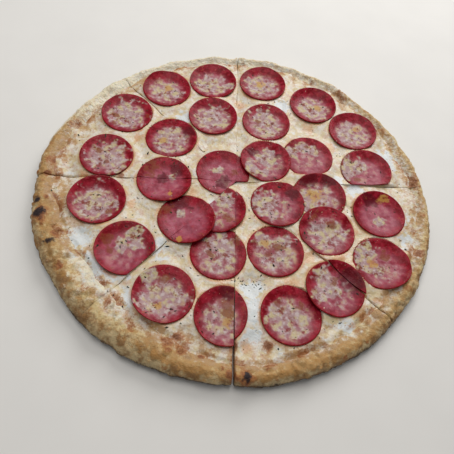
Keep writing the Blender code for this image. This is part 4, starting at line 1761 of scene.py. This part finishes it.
CHEESE_SPOTS: Spots = {
    PALE: (
        (-96, -108, 44), (104, -115, 18), (30, -118, 24), (28, -100, 18), (30, -138, 18), (152, -5, 20),
        (110, 19, 18), (140, 63, 26), (-120, -82, 22), (-68, -128, 20), (158, -28, 18), (92, 22, 14),
        (33, 108, 16), (-62, 66, 18), (-56, -78, 16),
    ),
    OIL: (
        (-135, -21, 14), (-87, -43, 12), (-125, -69, 12), (-40, -20, 18), (60, -88, 16), (70, -62, 16),
        (108, -30, 14), (30, -146, 12), (62, 84, 16), (84, 65, 14), (-12, 100, 14), (40, 10, 14),
        (96, -58, 16), (120, -112, 20), (-100, 32, 12),
    ),
    BROWN: (
        (-134, 7, 12), (-104, -14, 8), (130, 100, 10), (20, -148, 11), (-22, -148, 10), (45, -142, 10),
    ),
}


@dataclass
class Cheese:
    """The melted cheese: a wedge for each slice, risen by the pepperoni and ragged on the rim's slope."""

    form: PieForm
    layout: Layout
    crust: Crust
    spacing: float = 0.0010
    lip_spacing: float = 0.0005
    lip_rows_reach: float = 0.008
    lip_radius: float = 0.0050
    ragged: tuple[float, float] = (0.0034, 0.0013)
    melt_heights: tuple[float, float, float] = (0.00050, 0.00026, 0.00008)
    melt_spans: tuple[float, float, float] = (0.013, 0.0052, 0.0021)
    blister_height: float = 0.0007
    blister_span: float = 0.0055
    oil_reach: float = 0.0045
    hug_reach: float = 0.0110
    hug_under: float = 0.0060
    hug_inset: float = 0.0010
    hug_most: float = 0.0026
    embed_share: float = 0.75
    clearance: float = 0.00015
    lip_sink: float = 0.0003
    lip_tuck: float = 0.0004
    cut_edge: tuple[float, float] = (0.0012, 0.0014)
    relief: Relief = field(default_factory=lambda: Relief(19))
    pieces: list[Piece] = field(default_factory=list)

    def shore(self, angle: Array) -> Array:
        """Find where the cheese ends.

        Args:
            angle: Angles about the middle.

        Returns:
            The even radii there.
        """
        ring = flat_points(self.form.foot * np.cos(angle), self.form.foot * np.sin(angle))
        wide = self.ragged[0] * self.relief.waves(ring, 0.017)
        fine = self.ragged[1] * self.relief.waves(ring + 0.1, 0.0055)
        return self.form.foot + self.form.shore_out + (wide + fine).reshape(angle.shape)

    def height(self, x: Array, y: Array, wedge: Wedge) -> Array:
        """Return the height of the cheese.

        Args:
            x: Places along X.
            y: Places along Y.
            wedge: The slice of the pizza that they are in.

        Returns:
            The heights there.
        """
        radius = self.form.even_radius(x, y)
        places = flat_points(x, y)
        height = self.form.lifted(self.form.cheese_height(radius), x, y, radius)
        for size, span in zip(self.melt_heights, self.melt_spans):
            height += size * self.relief.waves(places + span, span)
        toasted = smooth(radius, self.form.foot - 0.012, self.form.foot + 0.002)
        height += self.blister_height * toasted * self.relief.bubbles(places, self.blister_span)[0]
        height = self.hugged(x, y, height, wedge.letter)
        height -= wedge.rounding(x, y, *self.cut_edge)
        inland = self.shore(np.arctan2(y, x)) - radius
        lip = np.clip(inland / self.lip_radius, 0.0, 1.0)
        crust = self.crust.top_height(x, y)
        return np.where(lip < 1.0, crust + (height - crust) * (1.0 - (1.0 - lip) ** 1.6), height)

    def hugged(self, x: Array, y: Array, height: Array, letter: str) -> Array:
        """Raise the cheese against the slices of pepperoni and hold it down under them.

        Args:
            x: Places along X.
            y: Places along Y.
            height: The heights without pepperoni.
            letter: The slice of the pizza that the places are in.

        Returns:
            The new heights.
        """
        height = height.copy()
        pieces = self.layout.over(letter)
        for piece in pieces:
            away = self.layout.outside_of(piece, x, y)
            near = (away < self.hug_reach) & (away > -self.hug_under)
            across, along = x[near] - piece.middle[0], y[near] - piece.middle[1]
            scale = piece.reach / np.hypot(across, along)
            edge_x, edge_y = piece.middle[0] + across * scale, piece.middle[1] + along * scale
            edge = self.layout.underside(piece, edge_x, edge_y) + self.embed_share * self.layout.thickness
            keen = 0.95 + 0.35 * self.relief.waves(flat_points(edge_x, edge_y, 0.3), 0.014)
            gain = np.clip(edge - height[near], 0.0, self.hug_most) * np.clip(keen, 0.0, 1.0)
            beyond = 1.0 - smooth(away[near], 0.0, self.hug_reach)
            height[near] += gain * (beyond * smooth(away[near], -self.hug_under, -self.hug_inset))
        for piece in pieces:
            under = self.layout.outside_of(piece, x, y) < 0.0
            lowest = self.layout.underside(piece, x[under], y[under]) - self.clearance
            height[under] = np.minimum(height[under], lowest)
        return height

    def make_all(self) -> None:
        """Make every wedge."""
        material = CheeseFinish().material()
        for wedge in WEDGES:
            mesh = self.wedge_mesh(wedge)
            self.mark(mesh, wedge.letter)
            name = f"cheese_{wedge.letter}"
            self.pieces.append(show(f"{name}_melt", mesh, material, Food.CHEESE, [name]))

    def wedge_mesh(self, wedge: Wedge) -> Mesh:
        """Make the mesh of one wedge.

        Args:
            wedge: The slice of the pizza.

        Returns:
            The mesh.
        """
        form = self.form
        reach = form.foot + form.shore_out
        inner = np.arange(wedge.tip, reach - self.lip_rows_reach, self.spacing)
        lip = np.linspace(reach - self.lip_rows_reach, reach, int(self.lip_rows_reach / self.lip_spacing) + 1)
        shares = (np.concatenate((inner, lip)) - wedge.tip) / (reach - wedge.tip)
        turns = wedge.turns(shares * (reach - wedge.tip) + wedge.tip, self.spacing, reach)
        outermost = turns[-1]
        rim_angle, _ = on_ray(form, outermost, np.full(outermost.shape, reach))
        shore = self.shore(rim_angle)
        _, edge = on_ray(form, outermost, shore)
        distance = wedge.tip + shares[:, None] * (edge - wedge.tip)[None, :]
        x, y = from_cut_point(distance, turns)
        z = self.height(x.ravel(), y.ravel(), wedge).reshape(x.shape)
        z[-1] -= self.lip_sink
        top = np.stack((x, y, z), axis=-1)
        rows = [top]
        tucked, foot, flat = shore - self.lip_tuck, form.foot, form.foot - form.shore_in
        for below, height in ((tucked, None), (foot, form.foot_height), (flat, form.cheese_bottom)):
            radius = np.broadcast_to(below, shore.shape)
            _, away = on_ray(form, outermost, radius)
            row_x, row_y = from_cut_point(away, outermost)
            row_z = z[-1] - 2.0 * self.lip_sink
            if height is not None:
                row_z = form.lifted(np.full(radius.shape, height), row_x, row_y, radius)
            rows.append(np.stack((row_x, row_y, row_z), axis=-1)[None])
        tip = top[0].copy()
        tip[:, 2] = form.cheese_bottom
        rows.append(tip[None])
        return lofted(f"cheese_{wedge.letter}_melt", keep_in_box(np.concatenate(rows)), len(top) - 1)

    def mark(self, mesh: Mesh, letter: str) -> None:
        """Mark where a wedge is pale, oily, golden or toasted.

        Args:
            mesh: The wedge's mesh.
            letter: The slice of the pizza.
        """
        x, y, _ = corners_of(mesh).T
        places = flat_points(x, y)
        inland = self.shore(np.arctan2(y, x)) - self.form.even_radius(x, y)
        placed = {mark: self.relief.spots(CHEESE_SPOTS, mark, x, y) for mark in (PALE, OIL, BROWN)}
        patchy = smooth(self.relief.waves(places + 0.4, 0.012), -0.4, 0.6)
        oil = 0.8 * placed[OIL]
        for piece in self.layout.over(letter):
            glow = 1.0 - smooth(self.layout.outside_of(piece, x, y), 0.0, self.oil_reach)
            oil = np.maximum(oil, (0.35 + 0.65 * patchy) * glow)
        toasted = 1.0 - smooth(inland, 0.0005, 0.014)
        toasted *= smooth(self.relief.waves(places + 0.6, 0.011), -0.6, 0.5)
        pale = np.maximum(placed[PALE], 0.5 * smooth(self.relief.waves(places + 0.8, 0.016), 0.1, 0.8))
        pale *= 1.0 - 0.7 * toasted
        golden = 0.75 * (1.0 - smooth(inland, 0.003, 0.026))
        golden *= smooth(self.relief.waves(places, 0.010), -0.7, 0.5)
        brown = np.maximum(0.80 * toasted, placed[BROWN])
        set_marks(mesh, {OIL: oil, PALE: pale, GOLD: golden * (1.0 - pale), BROWN: brown})


# What is strewn over the pizza.

class FlakeTree(ShapeTree):
    """A rough flake on every point of a mesh."""

    kinds = {"Length": "Float", "Width": "Float", "Depth": "Float", "Roughness": "Float", "Seed": "Int",
             "Material": "Material"}

    def shape(self, *signals: Signal) -> Signal:
        """Shove the corners of small balls, stretch and spin the balls and set them upright on the points.

        Args:
            signals: The points and the values of the named inputs.

        Returns:
            The flakes.
        """
        points, length, width, depth, rough, seed = signals
        ball = self.node("GeometryNodeMeshIcoSphere", inputs={"Radius": 0.5, "Subdivisions": 1})
        shove = self.drawn((-1.0, -1.0, -1.0), (1.0, 1.0, 1.0), seed)
        push = self.node("ShaderNodeVectorMath", {"operation": "SCALE"}, {0: shove, "Scale": rough})
        flake = self.node("GeometryNodeSetPosition", inputs={"Geometry": ball, "Offset": push})
        upright = self.node("FunctionNodeAlignRotationToVector", {"axis": "Z"}, {
            "Vector": self.read("up", "FLOAT_VECTOR")})
        spin = self.node("ShaderNodeCombineXYZ", inputs={2: self.read("spin")})
        turned = self.node("FunctionNodeRotateRotation", {"rotation_space": "LOCAL"}, {
            "Rotation": upright, "Rotate By": spin})
        sizes = self.vector(length, width, depth)
        stretch = self.drawn((0.5, 0.5, 0.6), (1.3, 1.2, 1.2), seed)
        scale = self.node("ShaderNodeVectorMath", {"operation": "MULTIPLY"}, {0: sizes, 1: stretch})
        scale = self.node("ShaderNodeVectorMath", {"operation": "SCALE"}, {
            0: scale, "Scale": self.read("size")})
        return self.node("GeometryNodeInstanceOnPoints", inputs={
            "Points": points, "Instance": flake, "Rotation": turned, "Scale": scale})

    def drawn(self, least: Place, most: Place, seed: Signal) -> Signal:
        """Return a random vector for each point or corner."""
        return self.node("FunctionNodeRandomValue", {"data_type": "FLOAT_VECTOR"}, {
            0: least, 1: most, "Seed": seed})

    def read(self, name: str, kind: str = "FLOAT") -> Signal:
        """Return the signal of a named attribute of the points."""
        return self.node("GeometryNodeInputNamedAttribute", {"data_type": kind}, {"Name": name})


# Where clumps of herbs show, in millimetres.
HERB_PLACES = (
    (17, -95), (28, -93), (13, -94), (35, -95), (16, -25), (21, -30), (41, 56), (144, 81), (-33, -82),
    (6, -95), (22, -97), (-39, 30), (-101, 25), (-155, -42), (-50, -62), (-44, -70), (24, -34), (66, -40),
    (-4, 60), (19, -97), (30, -95), (-60, 118), (-12, 104), (38, 96), (92, 58), (100, -8), (60, -50),
    (-92, -16),
)
HERB_CLUMP = ((0.0, 0.0), (0.0022, 0.0009), (-0.0007, -0.0024))


@dataclass(frozen=True)
class Strewn:
    """A kind of small topping.

    One stays where it falls by the bare chance, and the more likely the thicker the film of grated cheese is.
    The sizes are the least and the greatest share of the shape. Some lie at places of their own.
    """

    finish: FlakeFinish
    draws: int
    bare_chance: float
    film_chance: float
    film_power: float
    sizes: tuple[float, float]
    sink: float
    shape: dict[str, float]
    own_places: tuple[Array, ...] = ()


GRATED_CHEESE = Strewn(
    FlakeFinish("grated_cheese", (214, 202, 176), (182, 150, 112), roughness=0.55, span=0.003),
    draws=42000, bare_chance=0.010, film_chance=0.07, film_power=1.5, sizes=(0.35, 1.15), sink=0.0001,
    shape={"Length": 0.0014, "Width": 0.0009, "Depth": 0.0005, "Roughness": 0.16, "Seed": 3})
DRIED_HERBS = Strewn(
    FlakeFinish("dried_herbs", (56, 60, 36), (26, 22, 16), roughness=0.8, span=0.002),
    draws=5200, bare_chance=0.10, film_chance=0.16, film_power=1.0, sizes=(0.45, 1.40), sink=0.00005,
    shape={"Length": 0.0030, "Width": 0.0015, "Depth": 0.00035, "Roughness": 0.14, "Seed": 11},
    own_places=tuple(np.array(HERB_PLACES) * MILLIMETRE + shift for shift in HERB_CLUMP))


@dataclass
class Toppings:
    """Grated cheese and dried herbs over the pizza. Each kind draws by three seeds in a row."""

    form: PieForm
    layout: Layout
    ground: BVHTree
    drop_height: float = 0.05
    leaning: float = 0.22
    edge_free: float = 0.001
    past_foot: float = 0.002

    def places(self, kind: Strewn, seed: int) -> Array:
        """Draw where one kind falls, over the cheese and most of it in the cups of the pepperoni.

        Args:
            kind: The kind.
            seed: The first seed of the draw.

        Returns:
            The places, x and y, one a row.
        """
        draw = np.random.default_rng(seed)
        distance = (self.form.foot + self.past_foot) * np.sqrt(draw.random(kind.draws))
        angle = draw.uniform(0.0, TURN, kind.draws)
        places = np.stack((distance * np.cos(angle), distance * np.sin(angle)), axis=1)
        film = np.zeros(len(places))
        for piece in SLICES:
            inside = self.layout.outside_of(piece, *places.T) < -self.edge_free
            film = np.maximum(film, self.layout.film(piece, *places.T) * inside)
        chances = np.random.default_rng(seed + 1).random(len(places))
        kept = chances < kind.bare_chance + kind.film_chance * film ** kind.film_power
        return np.vstack((*kind.own_places, places[kept]))

    def strew(self, kind: Strewn, seed: int) -> None:
        """Let one kind fall onto the pizza.

        Args:
            kind: The kind.
            seed: The first seed of its draws.
        """
        name, material = kind.finish.name, kind.finish.material()
        spots, ways = [], []
        for x, y in self.places(kind, seed):
            place, normal, _, _ = self.ground.ray_cast((x, y, self.drop_height), (0.0, 0.0, -1.0))
            if place is not None:
                spots.append(place - normal * kind.sink)
                ways.append(normal)
        draw = np.random.default_rng(seed + 2)
        points = bpy.data.meshes.new(f"{name}_points")
        points.from_pydata([tuple(spot) for spot in spots], [], [])
        leaning = np.array(ways) + draw.normal(0.0, self.leaning, (len(ways), 3))
        layer = points.attributes.new("up", "FLOAT_VECTOR", "POINT")
        layer.data.foreach_set("vector", leaning.astype(np.float32).ravel())
        set_values(points, "spin", draw.uniform(0.0, TURN, len(spots)))
        low, high = kind.sizes
        set_values(points, "size", low + (high - low) * draw.random(len(spots)) ** 2)
        mesh = FlakeTree(name).mesh(name, {**kind.shape, "Material": material}, points)
        move_corners(mesh, corners_of(mesh))
        show(name, mesh, material, Food.CHEESE, [], sharp=30.0)


# The studio.

@dataclass
class Studio:
    """A pale floor, soft lights and the camera at the photo's angle."""

    eye: Place = (0.0, -0.24092, 0.33486)
    right: Place = (0.98276, 0.16044, 0.09189)
    up: Place = (-0.18485, 0.84281, 0.50548)
    forward: Place = (-0.00365, 0.51375, -0.85793)
    lens: float = 34.72
    sensor: float = 36.0
    light_size: float = 0.8
    floor_reach: float = 2.5
    floor_colour: Tint = (235, 233, 229)
    sky: Place = (1.0, 1.0, 1.0)
    sky_strength: float = 0.20

    def make_camera(self) -> None:
        """Place the camera."""
        data = bpy.data.cameras.new("camera")
        data.lens = self.lens
        data.sensor_width = self.sensor
        data.clip_start = 0.01
        camera = placed_object("camera", data)
        columns = (Vector(self.right), Vector(self.up), -Vector(self.forward))
        turn = Matrix([[column[row] for column in columns] for row in range(3)]).to_4x4()
        camera.matrix_world = Matrix.Translation(self.eye) @ turn
        bpy.context.scene.camera = camera

    def make_light(self, name: str, place: Place, power: float, tint: Place) -> None:
        """Place a square soft light that faces the middle of the pizza.

        Args:
            name: The light's name.
            place: Where it is.
            power: Its power in watts.
            tint: Its colour.
        """
        data = bpy.data.lights.new(name, "AREA")
        data.size = self.light_size
        data.energy = power
        data.color = tint
        light = placed_object(name, data)
        light.location = place
        light.rotation_euler = (-Vector(place)).to_track_quat("-Z", "Y").to_euler()

    def make_floor(self) -> None:
        """Lay the floor."""
        body = bmesh.new()
        bmesh.ops.create_grid(body, x_segments=2, y_segments=2, size=self.floor_reach)
        mesh = bpy.data.meshes.new("floor")
        body.to_mesh(mesh)
        body.free()
        floor = placed_object("floor", mesh)
        paint = Paint("pale_floor", {"Roughness": 0.85})
        pale = colour(*self.floor_colour)
        paler = tuple(0.97 * channel for channel in pale[:3]) + (1.0,)
        paint.feed("Base Color", paint.coats(pale, (paler, paint.grain(0.05))))
        mesh.materials.append(paint.material)

    def make_all(self) -> None:
        """Make the floor, the sky, the lights and the camera."""
        scene = bpy.context.scene
        scene.view_settings.view_transform = "Standard"
        world = bpy.data.worlds.new("sky")
        scene.world = world
        world.use_nodes = True
        ground = world.node_tree.nodes["Background"]
        ground.inputs["Color"].default_value = (*self.sky, 1.0)
        ground.inputs["Strength"].default_value = self.sky_strength
        self.make_floor()
        self.make_light("window", (0.32, 1.0, 0.85), 10.0, (1.0, 0.99, 0.98))
        self.make_light("ceiling", (-0.20, 0.20, 1.25), 6.5, (1.0, 0.98, 0.95))
        self.make_camera()


def ground_of(pieces: list[Piece]) -> BVHTree:
    """Gather pieces to drop things on.

    Args:
        pieces: The pieces.

    Returns:
        One tree of all their faces.
    """
    corners, faces, start = [], [], 0
    for piece in pieces:
        corners.extend(vertex.co.copy() for vertex in piece.data.vertices)
        faces.extend(tuple(start + index for index in face.vertices) for face in piece.data.polygons)
        start += len(piece.data.vertices)
    return BVHTree.FromPolygons(corners, faces)


def main() -> None:
    """Build the looks of the pizza and its studio."""
    logging.basicConfig(level=logging.INFO, format="%(message)s")
    form = PieForm()
    layout = Layout(form)
    crust = Crust(form)
    cheese = Cheese(form, layout, crust)
    crust.make_all(cheese.shore)
    cheese.make_all()
    sauce = SauceFinish().material()
    for name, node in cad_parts.items():
        if name.startswith(Food.SAUCE.value):
            node.data.materials.clear()
            node.data.materials.append(sauce)
            LOG.info("%s: dressed", name)
    pepperoni = PepperoniMaker(layout)
    pepperoni.make_all()
    toppings = Toppings(form, layout, ground_of(cheese.pieces + pepperoni.pieces))
    toppings.strew(GRATED_CHEESE, 5)
    toppings.strew(DRIED_HERBS, 8)
    Studio().make_all()


if __name__ == "__main__":
    main()
